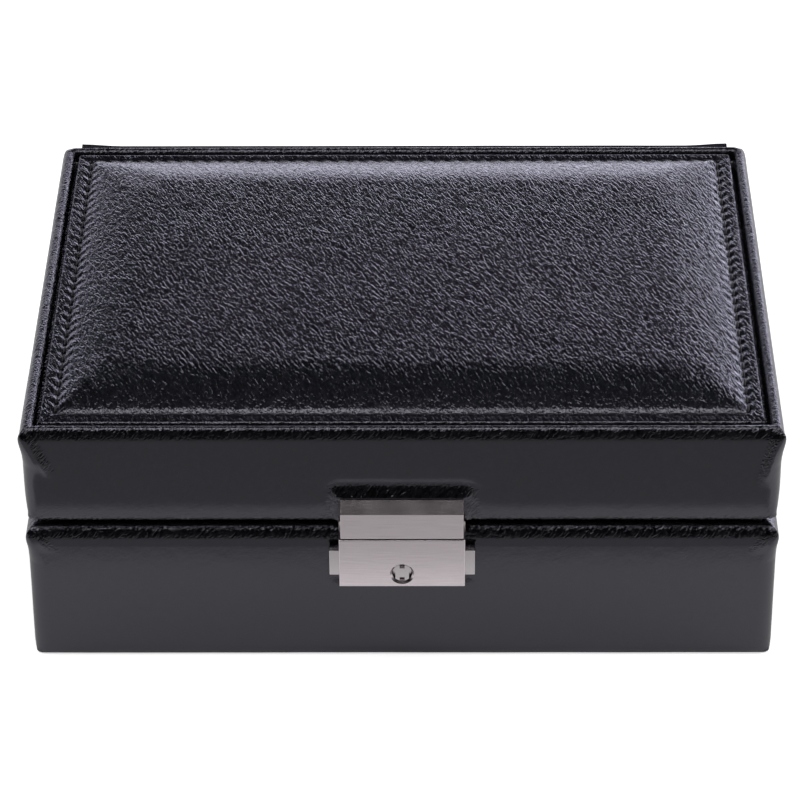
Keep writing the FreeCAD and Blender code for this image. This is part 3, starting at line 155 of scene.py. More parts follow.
class Loop:
    """Points round a rounded rectangle: front, right, back, left, each with its corner after it."""

    def __init__(self, fine=FINE_STEP, coarse=COARSE_STEP):
        along_x = spacing(2 * half_x, fine, coarse)
        along_y = spacing(back_y - front_y, fine, coarse)
        self.sides = [along_x, along_y, along_x, along_y]
        self.count = sum(len(side) for side in self.sides) + 4 * CORNER_STEPS

    def points(self, right, front, back, front_radius, back_radius=None):
        """The loop's places and the way out at each, for walls and corner radii of these sizes."""
        place, outward = [], []
        if back_radius is None:
            back_radius = front_radius
        first_radii = [front_radius, front_radius, back_radius, back_radius]
        last_radii = [front_radius, back_radius, back_radius, front_radius]
        corners = [((right, front), -90), ((right, back), 0), ((-right, back), 90),
                   ((-right, front), 180)]
        starts = [(-right, front), (right, front), (right, back), (-right, back)]
        for side in range(4):
            corner, first_angle = corners[side]
            start = np.array(starts[side])
            along = np.array(corner) - start
            length = np.linalg.norm(along)
            along = along / length
            radius = last_radii[side]
            run = first_radii[side] + (length - first_radii[side] - radius) * self.sides[side]
            place.append(start + run[:, None] * along)
            outward.append(np.tile([along[1], -along[0]], (len(run), 1)))
            middle = (corner[0] - math.copysign(radius, corner[0]),
                      corner[1] - (radius if side in (1, 2) else -radius))
            angles = np.radians(first_angle + 90 * np.arange(CORNER_STEPS) / CORNER_STEPS)
            turn = np.column_stack([np.cos(angles), np.sin(angles)])
            place.append(np.array(middle) + radius * turn)
            outward.append(turn)
        return np.concatenate(place), np.concatenate(outward)


def strip_faces(rows, count):
    """Quads between rows of points that run all the way round."""
    faces = []
    for row in range(rows - 1):
        for step in range(count):
            following = (step + 1) % count
            faces.append((row * count + step, row * count + following,
                          (row + 1) * count + following, (row + 1) * count + step))
    return faces


def sheet_faces(rows, columns):
    """Faces of a sheet with two layers of rows by columns points, closed round its rim."""
    count = rows * columns
    faces = []
    for row in range(rows - 1):
        for column in range(columns - 1):
            corner = row * columns + column
            quad = (corner, corner + 1, corner + columns + 1, corner + columns)
            faces.append(quad)
            faces.append(tuple(count + index for index in quad[::-1]))
    rim = list(range(columns)) + [row * columns + columns - 1 for row in range(1, rows)]
    rim += [count - 2 - column for column in range(columns - 1)]
    rim += [row * columns for row in range(rows - 2, 0, -1)]
    for place, start in enumerate(rim):
        end = rim[(place + 1) % len(rim)]
        faces.append((start, count + start, count + end, end))
    return faces


# ---------------------------------------------------------------- materials

def node_material(name):
    """A new material with its nodes, its links and its shader."""
    material = bpy.data.materials.new(name)
    material.use_nodes = True
    nodes = material.node_tree.nodes
    links = material.node_tree.links
    shader = nodes["Principled BSDF"]
    return material, nodes, links, shader


def feature_coordinates(nodes, links, sizes, rotation=(0, 0, 0)):
    """Object coordinates in which a feature of these sizes, in millimetres, is one unit."""
    coordinates = nodes.new("ShaderNodeTexCoord")
    mapping = nodes.new("ShaderNodeMapping")
    mapping.vector_type = "TEXTURE"
    mapping.inputs["Rotation"].default_value = rotation
    mapping.inputs["Scale"].default_value = [size * MM for size in sizes]
    links.new(coordinates.outputs["Object"], mapping.inputs["Vector"])
    return mapping.outputs["Vector"]


def noise_node(nodes, links, vector, scale, detail=2.0, roughness=0.5, distortion=0.0):
    """Noise with scale features to one unit of the coordinates."""
    texture = nodes.new("ShaderNodeTexNoise")
    texture.inputs["Scale"].default_value = scale
    texture.inputs["Detail"].default_value = detail
    texture.inputs["Roughness"].default_value = roughness
    texture.inputs["Distortion"].default_value = distortion
    links.new(vector, texture.inputs["Vector"])
    return texture


def ramp_node(nodes, links, value, stops):
    """Turns a value into a colour through stops of (position, colour)."""
    ramp = nodes.new("ShaderNodeValToRGB")
    ramp.color_ramp.elements[0].position = stops[0][0]
    ramp.color_ramp.elements[0].color = (*stops[0][1], 1)
    ramp.color_ramp.elements[1].position = stops[-1][0]
    ramp.color_ramp.elements[1].color = (*stops[-1][1], 1)
    for position, color in stops[1:-1]:
        ramp.color_ramp.elements.new(position).color = (*color, 1)
    links.new(value, ramp.inputs["Fac"])
    return ramp.outputs["Color"]


def range_node(nodes, links, value, low, high, from_low=0.0, from_high=1.0):
    """Stretches a value's range so that it runs from low to high."""
    mapper = nodes.new("ShaderNodeMapRange")
    mapper.inputs["From Min"].default_value = from_low
    mapper.inputs["From Max"].default_value = from_high
    mapper.inputs["To Min"].default_value = low
    mapper.inputs["To Max"].default_value = high
    links.new(value, mapper.inputs["Value"])
    return mapper.outputs["Result"]


def bump_node(nodes, links, height, strength, distance_mm, normal=None):
    """Normals of a surface raised by height, on top of other normals where they are given."""
    bump = nodes.new("ShaderNodeBump")
    bump.inputs["Strength"].default_value = strength
    bump.inputs["Distance"].default_value = distance_mm * MM
    links.new(height, bump.inputs["Height"])
    if normal is not None:
        links.new(normal, bump.inputs["Normal"])
    return bump.outputs["Normal"]


def mix_node(nodes, links, factor, at_zero, at_one):
    """Shows one shader where the factor is 0 and the other where it is 1."""
    mix = nodes.new("ShaderNodeMixShader")
    links.new(factor, mix.inputs["Fac"])
    links.new(at_zero, mix.inputs[1])
    links.new(at_one, mix.inputs[2])
    return mix.outputs["Shader"]


def leather(name, colour, grain_sizes, grain_turn, depth_mm, roughness, plain_grain):
    """Black coated leather: short wavy ridges in one direction, painted shade in their valleys and
    painted highlight on their crests, and soft changes of sheen.

    plain_grain is how much of the grain's depth is left where the grain attribute is 0 or missing.
    """
    material, nodes, links, shader = node_material(name)
    place = feature_coordinates(nodes, links, grain_sizes, grain_turn)
    ridges = noise_node(nodes, links, place, 1.0, detail=1.2, distortion=0.9)
    height = range_node(nodes, links, ridges.outputs["Fac"], 0.0, 1.0,
                        from_low=0.34, from_high=0.66)
    even = feature_coordinates(nodes, links, (1, 1, 1))
    coarse = noise_node(nodes, links, even, 0.35)
    soft = bump_node(nodes, links, coarse.outputs["Fac"], 1.0, depth_mm * 0.3)
    normal = bump_node(nodes, links, height, 1.0, depth_mm, soft)
    attribute = nodes.new("ShaderNodeAttribute")
    attribute.attribute_name = "grain"
    links.new(range_node(nodes, links, attribute.outputs["Fac"], plain_grain, 1.0),
              normal.node.inputs["Strength"])
    links.new(normal, shader.inputs["Normal"])
    patches = noise_node(nodes, links, even, 0.04)
    links.new(range_node(nodes, links, patches.outputs["Fac"], roughness - 0.03,
                         roughness + 0.05), shader.inputs["Roughness"])
    # Painted shade and highlight: the colour is darker in the grain's valleys and lighter on its
    # crests.
    dark = tuple(channel * 0.3 for channel in colour)
    light = tuple(channel * 2.0 for channel in colour)
    links.new(ramp_node(nodes, links, height, [(0.0, dark), (0.6, colour), (1.0, light)]),
              shader.inputs["Base Color"])
    shader.inputs["Specular IOR Level"].default_value = 0.95
    shader.inputs["Specular Tint"].default_value = (0.93, 0.91, 1.06, 1)
    return material


def cloth(name, colour, pile_mm, sheen=0.4, roughness=0.9):
    """Short-pile or woven cloth: fine pile in bump and colour, sheen on top."""
    material, nodes, links, shader = node_material(name)
    place = feature_coordinates(nodes, links, (1, 1, 1))
    pile = noise_node(nodes, links, place, 1 / pile_mm, detail=3.0, roughness=0.7)
    clouds = noise_node(nodes, links, place, 1 / 12)
    blend = nodes.new("ShaderNodeMath")
    blend.operation = "MULTIPLY"
    links.new(pile.outputs["Fac"], blend.inputs[0])
    links.new(range_node(nodes, links, clouds.outputs["Fac"], 0.7, 1.3), blend.inputs[1])
    dark = tuple(channel * 0.5 for channel in colour)
    light = tuple(channel * 1.9 for channel in colour)
    links.new(ramp_node(nodes, links, blend.outputs["Value"],
                        [(0.25, dark), (0.5, colour), (0.8, light)]), shader.inputs["Base Color"])
    links.new(bump_node(nodes, links, pile.outputs["Fac"], 0.6, 0.12), shader.inputs["Normal"])
    shader.inputs["Roughness"].default_value = roughness
    shader.inputs["Specular IOR Level"].default_value = 0.2
    shader.inputs["Sheen Weight"].default_value = sheen
    shader.inputs["Sheen Roughness"].default_value = 0.4
    return material


def metal(name, colour, roughness, streak=1.0, along="x"):
    """Nickel or steel; streak sets how much fine brushing along one axis shows."""
    material, nodes, links, shader = node_material(name)
    sizes = {"x": (9, 0.09, 0.09), "z": (0.09, 0.09, 9)}[along]
    lines = noise_node(nodes, links, feature_coordinates(nodes, links, sizes), 1.0,
                       roughness=0.6)
    clouds = noise_node(nodes, links, feature_coordinates(nodes, links, (7, 7, 7)), 1.0)
    spread = 0.12 * streak
    dark = tuple(channel * (1 - spread) for channel in colour)
    light = tuple(channel * (1 + spread) for channel in colour)
    links.new(ramp_node(nodes, links, lines.outputs["Fac"], [(0.3, dark), (0.7, light)]),
              shader.inputs["Base Color"])
    links.new(range_node(nodes, links, clouds.outputs["Fac"], roughness - 0.04,
                         roughness + 0.05), shader.inputs["Roughness"])
    links.new(bump_node(nodes, links, lines.outputs["Fac"], 0.25 * streak, 0.02),
              shader.inputs["Normal"])
    shader.inputs["Metallic"].default_value = 1.0
    return material


def board(name, colour):
    """Raw fibreboard: matted fibres and specks."""
    material, nodes, links, shader = node_material(name)
    fibres = noise_node(nodes, links, feature_coordinates(nodes, links, (0.8, 0.8, 0.8)), 1.0,
                        detail=6.0, roughness=0.75, distortion=0.6)
    dark = tuple(channel * 0.6 for channel in colour)
    light = tuple(channel * 1.3 for channel in colour)
    links.new(ramp_node(nodes, links, fibres.outputs["Fac"],
                        [(0.3, dark), (0.5, colour), (0.75, light)]), shader.inputs["Base Color"])
    links.new(bump_node(nodes, links, fibres.outputs["Fac"], 0.4, 0.2), shader.inputs["Normal"])
    shader.inputs["Roughness"].default_value = 0.85
    return material


def foam(name, colour):
    """Open-cell foam."""
    material, nodes, links, shader = node_material(name)
    cells = nodes.new("ShaderNodeTexVoronoi")
    cells.inputs["Scale"].default_value = 1.0
    links.new(feature_coordinates(nodes, links, (0.6, 0.6, 0.6)), cells.inputs["Vector"])
    dark = tuple(channel * 0.7 for channel in colour)
    links.new(ramp_node(nodes, links, cells.outputs["Distance"], [(0.1, dark), (0.6, colour)]),
              shader.inputs["Base Color"])
    links.new(bump_node(nodes, links, cells.outputs["Distance"], 0.5, 0.3),
              shader.inputs["Normal"])
    shader.inputs["Roughness"].default_value = 0.95
    return material


COVER_BLACK = (0.0034, 0.0033, 0.0038)
PANEL_BLACK = (0.0036, 0.0036, 0.0046)
RIM_GRAIN = (0, math.radians(-40), math.radians(40))       # ridges run up and to the right
TOP_GRAIN = (0, 0, math.radians(-70))                      # ridges run forwards and to the right

materials = {
    "cover_leather": leather("cover_leather", COVER_BLACK, (2.2, 0.7, 0.7), RIM_GRAIN,
                             depth_mm=0.11, roughness=0.13, plain_grain=0.06),
    "panel_leather": leather("panel_leather", PANEL_BLACK, (2.2, 0.72, 0.72), TOP_GRAIN,
                             depth_mm=0.10, roughness=0.13, plain_grain=0.2),
    "fibreboard": board("fibreboard", (0.05, 0.041, 0.033)),
    "foam": foam("foam", (0.72, 0.70, 0.64)),
    "lining_cloth": cloth("lining_cloth", (0.017, 0.017, 0.02), pile_mm=0.35, sheen=0.5),
    "ribbon": cloth("ribbon", (0.02, 0.02, 0.023), pile_mm=0.2, sheen=0.3, roughness=0.45),
    "bottom_cloth": cloth("bottom_cloth", (0.02, 0.02, 0.021), pile_mm=0.5, sheen=0.3),
    "brushed_nickel": metal("brushed_nickel", (0.86, 0.775, 0.81), roughness=0.23),
    "plain_nickel": metal("plain_nickel", (0.70, 0.65, 0.67), roughness=0.22, streak=0.35,
                          along="z"),
    "steel": metal("steel", (0.45, 0.45, 0.45), roughness=0.3, streak=0.5),
}
thread_material = cloth("thread", (0.012, 0.012, 0.014), pile_mm=0.15, sheen=0.2, roughness=0.5)

# The frame's own nodes take the material of their slot in the record.
for subpart in frame["record"]["subparts"]:
    node = frame["nodes"][subpart["node"]]
    node.data.materials.clear()
    node.data.materials.append(materials[subpart["material_slot"]])


# ---------------------------------------------------------------- leather over the boards

RIM_ROLL_IN, RIM_ROLL_DOWN = 2.1, 4.0  # half axes of the lid's rolled top edge
LIP = 1.5                             # radius of the lid's rim towards the panel
BOARD_CLEAR = 0.15                    # room between the leather and the boards
SINK = 0.05                           # how far a dip may go into it
BOARD_INSET = half_x - extent("base_right_board")[1][0] - BOARD_CLEAR
CORNER_ROOM = 1.95                    # room in front of the boards' corners, across the corner
TIGHT_CORNER = 1.3                    # radius of the front corners at the rim
TIGHT_BACK_CORNER = 4.0               # radius of the back corners there
SOFT_CORNER = 5.2                     # radius of all four corners lower down
SOFT_FROM, SOFT_AT = 1.5, 15.0        # depths below the rim between which they soften
SMALLEST_CORNER = 0.3
FOOT = 0.03                           # lowest height of the base's leather over the ground
SIDES_TIGHT = 0.35                    # how much tighter the leather lies over the side walls
SIDES_TIGHT_FROM, SIDES_TIGHT_AT = 3.0, 9.0   # depths between which it tightens there
MOUTH_BAND = 2.0                      # rows within this height of the mouth turn in over it
TURN_IN = 2.5                         # inset from which they shift to meet the lining cards
LEAF_CLEAR = 0.4                      # room beside the hinge's leaves
WIDE_AFTER = 3.0                      # how far behind the leaves' front the opening gets wider
WAVE_HEIGHT, WAVE_LENGTH = 0.05, 17.0         # slow unevenness of the leather
RIPPLE_HEIGHT, RIPPLE_LENGTH = 0.015, 4.0     # and a finer one


def smooth_rows(knots, step):
    """Rows along a smooth curve through knots of (inset, height), about step apart."""
    knots = np.array(knots)
    padded = np.concatenate([[2 * knots[0] - knots[1]], knots, [2 * knots[-1] - knots[-2]]])
    rows = []
    for index in range(1, len(padded) - 2):
        before, start, end, after = padded[index - 1:index + 3]
        count = max(1, round(float(np.linalg.norm(end - start)) / step))
        for t in np.arange(count) / count:
            rows.append(0.5 * (2 * start + (end - before) * t
                               + (2 * before - 5 * start + 4 * end - after) * t ** 2
                               + (3 * start - before - 3 * end + after) * t ** 3))
    return [tuple(row) for row in rows] + [tuple(knots[-1])]


def corner_radius(inset, depth, tight):
    """Radius of a row's corners: tight at the rim, softer lower down and clear of the boards."""
    outer = tight + (SOFT_CORNER - tight) * smoothstep(depth, SOFT_FROM, SOFT_AT)
    over_boards = (CORNER_ROOM - math.sqrt(2) * inset) / (math.sqrt(2) - 1)
    radius = outer - inset if inset > BOARD_INSET else min(outer - inset, over_boards)
    return float(max(radius, SMALLEST_CORNER))


CREASE_START = 0.9                    # from the side wall to the flap's edge, at the rim
CREASE_WIDTH = 2.6                    # how far the step down from the flap's edge runs
FLAP_WIDTH = 3.2                      # how far the flap fades towards the corner
WRINKLE_HEIGHT = 0.06
WRINKLE_PITCH = 1.15


def fold_relief(points, outward, rim, folds, height):
    """Folds at the upright corners: a flap with a crisp raised edge, and wrinkles beside it.

    folds gives each corner's lean, sideways for each millimetre down, and its length.
    """
    relief = np.zeros(len(points))
    creased = np.zeros(len(points))
    depth = rim - points[:, 2]
    for (side_x, side_y), (lean, reach) in folds.items():
        faces_out = smoothstep(side_y * outward[:, 1], 0.15, 0.6)
        across = half_x - side_x * points[:, 0]
        beyond = (across - CREASE_START - lean * np.maximum(depth, 0)) / math.hypot(1, lean)
        fade = (1 - smoothstep(depth, 0.6 * reach, reach)) * smoothstep(depth, 0.4, 2.4)
        ramp = np.clip(1 - beyond / CREASE_WIDTH, 0, 1) ** 1.3 * (beyond >= 0)
        flap = np.exp(-np.maximum(-beyond, 0) / FLAP_WIDTH) * (beyond < 0)
        band = smoothstep(beyond, -0.1, 0.3) * (1 - smoothstep(beyond, 1.6, 3.4))
        slanted = depth * 0.8 - across * 0.9 + 0.5 * noise_at(points, 2.0, 31)
        ripples = np.sin(slanted * 2 * math.pi / WRINKLE_PITCH)
        relief += faces_out * fade * (height * (ramp + flap) + WRINKLE_HEIGHT * band * ripples)
        creased = np.maximum(creased, faces_out * fade * band)
    return relief, creased


def outline_distance(points, outward, low_corner, high_corner):
    """Distance on the front wall from a metal part's outline, and a mask for the front wall."""
    out_x = np.maximum(np.abs(points[:, 0]) - high_corner[0], 0)
    out_z = np.maximum(np.maximum(low_corner[2] - points[:, 2], points[:, 2] - high_corner[2]), 0)
    return np.hypot(out_x, out_z), outward[:, 1] < -0.9


PRESSED_IN = 0.3                      # depth of the leather round the lock
HASP_SWELL = 1.65                     # height of the leather's swell at the hasp's edge
HASP_TROUGH = 0.34                    # depth of the trough beyond it
TROUGH_AWAY = 3.6                     # from the hasp's edge to the trough's middle


def round_the_lock(points, outward):
    """Leather on the base pressed in a little round the lock, and how grained it is there."""
    away, front = outline_distance(points, outward, lock_low_corner, lock_high_corner)
    pressed = -PRESSED_IN * (1 - smoothstep(away, 0.4, 2.6))
    return pressed * front, 0.4 * (away < 2.5) * front


def round_the_hasp(points, outward):
    """Leather on the lid swelling up to the hasp, a trough round that, and the grain there."""
    away, front = outline_distance(points, outward, hasp_low_corner, hasp_high_corner)
    outside = away > 0.05
    swell = HASP_SWELL * np.clip(1 - away / 3.4, 0, 1) ** 1.6 * outside
    trough = HASP_TROUGH * np.exp(-((away - TROUGH_AWAY) / 1.7) ** 2)
    return (swell - trough * outside) * front, 0.9 * (away < 4.0) * front


def shell_rings(loop, rows, rim, mouth):
    """Points and outward directions of a shell's rings, one ring for each (inset, height) row."""
    points, outward = [], []
    for index, (inset, z) in enumerate(rows):
        # The front and back walls are thicker than the side walls, which shows at the mouth.
        at_mouth = smoothstep(inset, TURN_IN, side_wall) if abs(z - mouth) < MOUTH_BAND else 0.0
        ring, out = loop.points(half_x - inset,
                                front_y + inset + (front_wall - side_wall) * at_mouth,
                                back_y - inset - (back_wall - side_wall) * at_mouth,
                                corner_radius(inset, rim - z, TIGHT_CORNER),
                                corner_radius(inset, rim - z, TIGHT_BACK_CORNER))
        before, after = rows[max(index - 1, 0)], rows[min(index + 1, len(rows) - 1)]
        rise = np.array([after[1] - before[1], after[0] - before[0]])
        rise = rise / np.linalg.norm(rise)
        points.append(np.column_stack([ring, np.full(len(ring), z)]))
        outward.append(np.column_stack([out * -rise[0], np.full(len(ring), -rise[1])]))
    return np.concatenate(points), np.concatenate(outward)


def open_at_hinge(points, faces, low, high):
    """Leaves out the faces between two heights where the hinge's leaves and knuckles stand."""
    centres = points[np.array(faces)].mean(axis=1)
    sideways = np.abs(centres[:, 0])
    by_leaf = (sideways < leaf_half + LEAF_CLEAR) & (centres[:, 1] > hinge_front)
    behind = (sideways < hinge_half) & (centres[:, 1] > hinge_front + WIDE_AFTER)
    at_hinge = (by_leaf | behind) & (centres[:, 2] > low) & (centres[:, 2] < high)
    return [face for face, dropped in zip(faces, at_hinge) if not dropped]


def leather_shell(name, rows, rim, mouth, folds, fold_height, dip, hinge_band, seed):
    """The leather of one half of the box: rings for the rows, with folds, dips and slight waves."""
    loop = Loop()
    points, outward = shell_rings(loop, rows, rim, mouth)
    relief, creased = fold_relief(points, outward, rim, folds, fold_height)
    dipped, dip_grain = dip(points, outward)
    relief += dipped + WAVE_HEIGHT * (noise_at(points, WAVE_LENGTH, seed) - 0.5)
    tight = smoothstep(rim - points[:, 2], SIDES_TIGHT_FROM, SIDES_TIGHT_AT)
    relief -= SIDES_TIGHT * np.abs(outward[:, 0]) * tight
    relief += RIPPLE_HEIGHT * (noise_at(points, RIPPLE_LENGTH, seed + 1) - 0.5)
    # The leather stays off the boards, and lies still where it turns down into the lid's groove.
    insets = np.repeat([row[0] for row in rows], loop.count)
    relief = np.maximum(relief, np.minimum(insets - BOARD_INSET, 0) - SINK)
    relief[insets > groove_inset - 0.1] = 0
    rolled = smoothstep(np.abs(outward[:, 2]), 0.1, 0.3)
    grain = np.maximum(np.maximum(rolled, creased), dip_grain)
    points = points + outward * relief[:, None]
    faces = open_at_hinge(points, strip_faces(len(rows), loop.count), *hinge_band)
    half = name.split("_")[0]
    piece = make_piece(name, points, faces, materials["cover_leather"], half, grain)
    face_outwards(piece)
    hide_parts(half + "_cover", half + "_padding")


def base_leather():
    """The base's leather: over the rim from inside, down the walls and under the floor."""
    rim, foot = base_rim, FOOT
    rows = smooth_rows([(side_wall, rim - 1.6), (side_wall, rim - 0.5),
                        (side_wall - 0.4, rim - 0.08),
                        (4.0, rim - 0.15), (2.6, rim - 0.45), (1.8, rim - 0.95),
                        (1.3, rim - 1.4), (0.95, rim - 1.8), (0.6, rim - 2.4),
                        (0.3, rim - 3.1), (0.1, rim - 4.0), (0, rim - 6.0)], 0.3)
    rows += smooth_rows([(0, rim - 6.0), (0, rim - 18)], 0.5)[1:]
    rows += smooth_rows([(0, rim - 18), (0, foot + 5)], 1.0)[1:]
    rows += smooth_rows([(0, foot + 5), (0.01, foot + 3), (0.07, foot + 1.8), (0.2, foot + 0.9),
                         (0.42, foot + 0.35), (0.85, foot + 0.05), (1.5, foot), (3.3, foot),
                         (3.8, foot + 0.5), (4.6, base_bottom), (12, base_bottom)], 0.5)[1:]
    folds = {(-1, -1): (0.62, 8.5), (1, -1): (0.56, 9.0), (-1, 1): (0.5, 9.0), (1, 1): (0.5, 9.0)}
    leather_shell("base_leather", rows, rim, rim, folds, fold_height=0.35, dip=round_the_lock,
                  hinge_band=(rim - 3.0, rim + 1), seed=3)


def lid_leather():
    """The lid's leather: out of the groove, over the rolled rim, down and into the mouth."""
    rim = lid_rim
    lip = np.radians(np.arange(0, 91, 18))
    roll = np.radians(np.arange(84, -1, -9.0))
    rows = [(groove_inset + 2.4, groove_floor + 0.12), (groove_inset + 0.9, groove_floor + 0.12),
            (groove_inset + 0.15, groove_floor + 0.25), (groove_inset, groove_floor + 0.9)]
    rows += [(groove_inset - LIP * (1 - math.cos(angle)), rim - LIP * (1 - math.sin(angle)))
             for angle in lip]
    rows += [(RIM_ROLL_IN * (1 - math.cos(angle)), rim - RIM_ROLL_DOWN * (1 - math.sin(angle)))
             for angle in roll]
    wall = rim - RIM_ROLL_DOWN
    rows += smooth_rows([rows[-1], (0, wall - 13)], 0.5)[1:]
    rows += smooth_rows([(0, wall - 13), (0.03, lid_bottom + 9), (0.14, lid_bottom + 6.5),
                         (0.36, lid_bottom + 4.1), (0.62, lid_bottom + 2.3),
                         (0.88, lid_bottom + 1.3), (1.5, lid_bottom + 0.4),
                         (2.5, lid_bottom + 0.05), (side_wall - 0.8, lid_bottom),
                         (side_wall - 0.1, lid_bottom + 0.3), (side_wall, lid_bottom + 1.6)],
                        0.5)[1:]
    folds = {(-1, -1): (0.45, 16.0), (1, -1): (0.26, 19.0), (-1, 1): (0.4, 14.0),
             (1, 1): (0.4, 14.0)}
    leather_shell("lid_leather", rows, rim, lid_bottom, folds, fold_height=0.8,
                  dip=round_the_hasp, hinge_band=(lid_bottom - 1, lid_bottom + 3.0), seed=11)


STRIP_BEVEL = 0.45                    # rounding of the back strips' edges
LONGEST_EDGE = 4.0                    # their mesh is cut until no edge is longer
STRIP_FLARE, STRIP_LIFT = 0.55, 0.35  # how far the lid strip's upper corners stand off, and up


def cut_long_edges(work):
    """Splits a mesh's edges until none is longer than LONGEST_EDGE."""
    while True:
        long_edges = [edge for edge in work.edges if edge.calc_length() > LONGEST_EDGE * MM]
        if not long_edges:
            return
        bmesh.ops.subdivide_edges(work, edges=long_edges, cuts=1)
        bmesh.ops.triangulate(work, faces=work.faces)


def back_panels():
    """The leather-wrapped strips over the hinge, with softened edges."""
    for half in ("base", "lid"):
        node = frame["nodes"][half + "_back_panel"]
        work = bmesh.new()
        work.from_mesh(node.data)
        bmesh.ops.dissolve_limit(work, angle_limit=math.radians(1), verts=work.verts,
                                 edges=work.edges)
        bmesh.ops.bevel(work, geom=list(work.edges), offset=STRIP_BEVEL * MM, segments=3,
                        profile=0.5, affect="EDGES")
        bmesh.ops.triangulate(work, faces=work.faces)
        cut_long_edges(work)
        points = np.array([vertex.co for vertex in work.verts]) / MM
        faces = [tuple(vertex.index for vertex in face.verts) for face in work.faces]
        work.free()
        out = smoothstep(points[:, 1], back_y, points[:, 1].max())
        points[:, 1] += out * 0.06 * (noise_at(points, 9.0, 41) - 1)
        if half == "lid":
            # The lid strip's upper corners stand off and up a little.
            ends = smoothstep(np.abs(points[:, 0]), hinge_half - 12, hinge_half)
            high = smoothstep(points[:, 2], points[:, 2].max() - 9, points[:, 2].max())
            points[:, 1] += STRIP_FLARE * ends * high
            points[:, 2] += STRIP_LIFT * ends * high
        piece = make_piece(half + "_back_leather", points, faces, materials["cover_leather"], half)
        face_outwards(piece)
        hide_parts(half + "_back_panel")


# ---------------------------------------------------------------- padded panel on the lid

STITCH_INSET = 4.15                   # from the panel's edge to the stitches
BACK_STITCH_INSET = 3.6               # and at the back
STITCH_PITCH = 4.1
MARGIN_LEATHER = 0.6                  # height of the margin's leather over the board
PILLOW_LEATHER = 0.8                  # and of the pillow's over its pad
BOARD_COVER = 0.08                    # least height over the board
MARGIN_TILT = 0.05                    # slope of the front and back margins, down to the front
PILLOW_SLOPE = 0.32                   # slope of the pillow's border
SLOPE_END = 2.6                       # the border starts to turn flat this far below the top
SEAM_DIP = 0.24                       # dip of the leather along the seam
HOLE_DIP, FRONT_HOLE_DIP = 0.46, 0.32      # how much deeper it's pinched at the stitches' holes
MARGIN_HOLE_DIP = 0.10                # and on the front and back margins beside them
EDGE_ROLL = 0.9                       # radius of the panel's edge
WELT_AWAY = 0.6                       # from the front seam to the fine ridge in front of it
WELT_HEIGHT = 0.26
CROWN = 0.35                          # fall of the pillow's top from its middle to its corners


def stitch_inset(outward):
    """Distance from the panel's edge to the stitches on the side that faces outward."""
    return STITCH_INSET - (STITCH_INSET - BACK_STITCH_INSET) * np.clip(outward[:, 1], 0, 1)


def panel_height(inset, ring, outward):
    """Height of the panel's leather at a distance in from its edge."""
    margin_top = panel_top + MARGIN_LEATHER
    top = pillow_top + PILLOW_LEATHER
    away = inset - stitch_inset(outward)
    beside = np.abs(outward[:, 0]) > np.abs(outward[:, 1])
    run = np.where(beside, ring[:, 1] - 0.6 * np.abs(away), ring[:, 0] - 0.5 * away)
    pinch = (0.5 + 0.5 * np.cos(2 * math.pi * run / STITCH_PITCH)) ** 1.4
    inner = np.maximum(away, 0)
    climb = margin_top + 0.16 * (1 - np.exp(-inner / 0.3)) + PILLOW_SLOPE * inner
    over = (climb - top) / SLOPE_END
    pillow = np.where(over > -1, np.where(over < 1, climb - SLOPE_END * (over + 1) ** 2 / 4, top),
                      climb)
    margin = margin_top - MARGIN_TILT * outward[:, 1] * away
    height = np.where(away > 0, pillow, margin)
    at_front = smoothstep(-outward[:, 1], 0.5, 0.95)
    width = np.where(away > 0, 1.6 - 0.8 * at_front, 1.2)
    hole_dip = HOLE_DIP - (HOLE_DIP - FRONT_HOLE_DIP) * at_front
    depth = np.where((away < 0) & ~beside, MARGIN_HOLE_DIP, hole_dip)
    height -= SEAM_DIP * np.exp(-(away / 0.85) ** 2)
    height -= depth * pinch * np.exp(-(np.abs(away) / width) ** 1.3)
    height += WELT_HEIGHT * at_front * np.exp(-((away + WELT_AWAY) / 0.38) ** 2)
    height = np.maximum(height, panel_top + BOARD_COVER)
    drop = EDGE_ROLL - math.sqrt(EDGE_ROLL ** 2 - max(EDGE_ROLL - inset, 0) ** 2)
    return height - drop


def fill_inside(points, faces, count, xs, ys):
    """Points and faces with the last ring of count points filled over a level grid, xs by ys."""
    last = len(points) - count
    ring = points[last:]
    flat_points = [Vector((p[0], p[1])) for p in ring]
    flat_points += [Vector((x, y)) for x in xs for y in ys]
    border = [(index, (index + 1) % count) for index in range(count)]
    out_points, _, out_faces, origin, _, _ = delaunay_2d_cdt(flat_points, border, [], 1, 1e-6)
    level = ring[:, 2].mean()
    index_of = {}
    extra = []
    for index, sources in enumerate(origin):
        if sources and sources[0] < count:
            index_of[index] = last + sources[0]
        else:
            index_of[index] = len(points) + len(extra)
            extra.append((*out_points[index], level))
    inside = [tuple(index_of[index] for index in face) for face in out_faces]
    return np.concatenate([points, np.array(extra)]), faces + inside


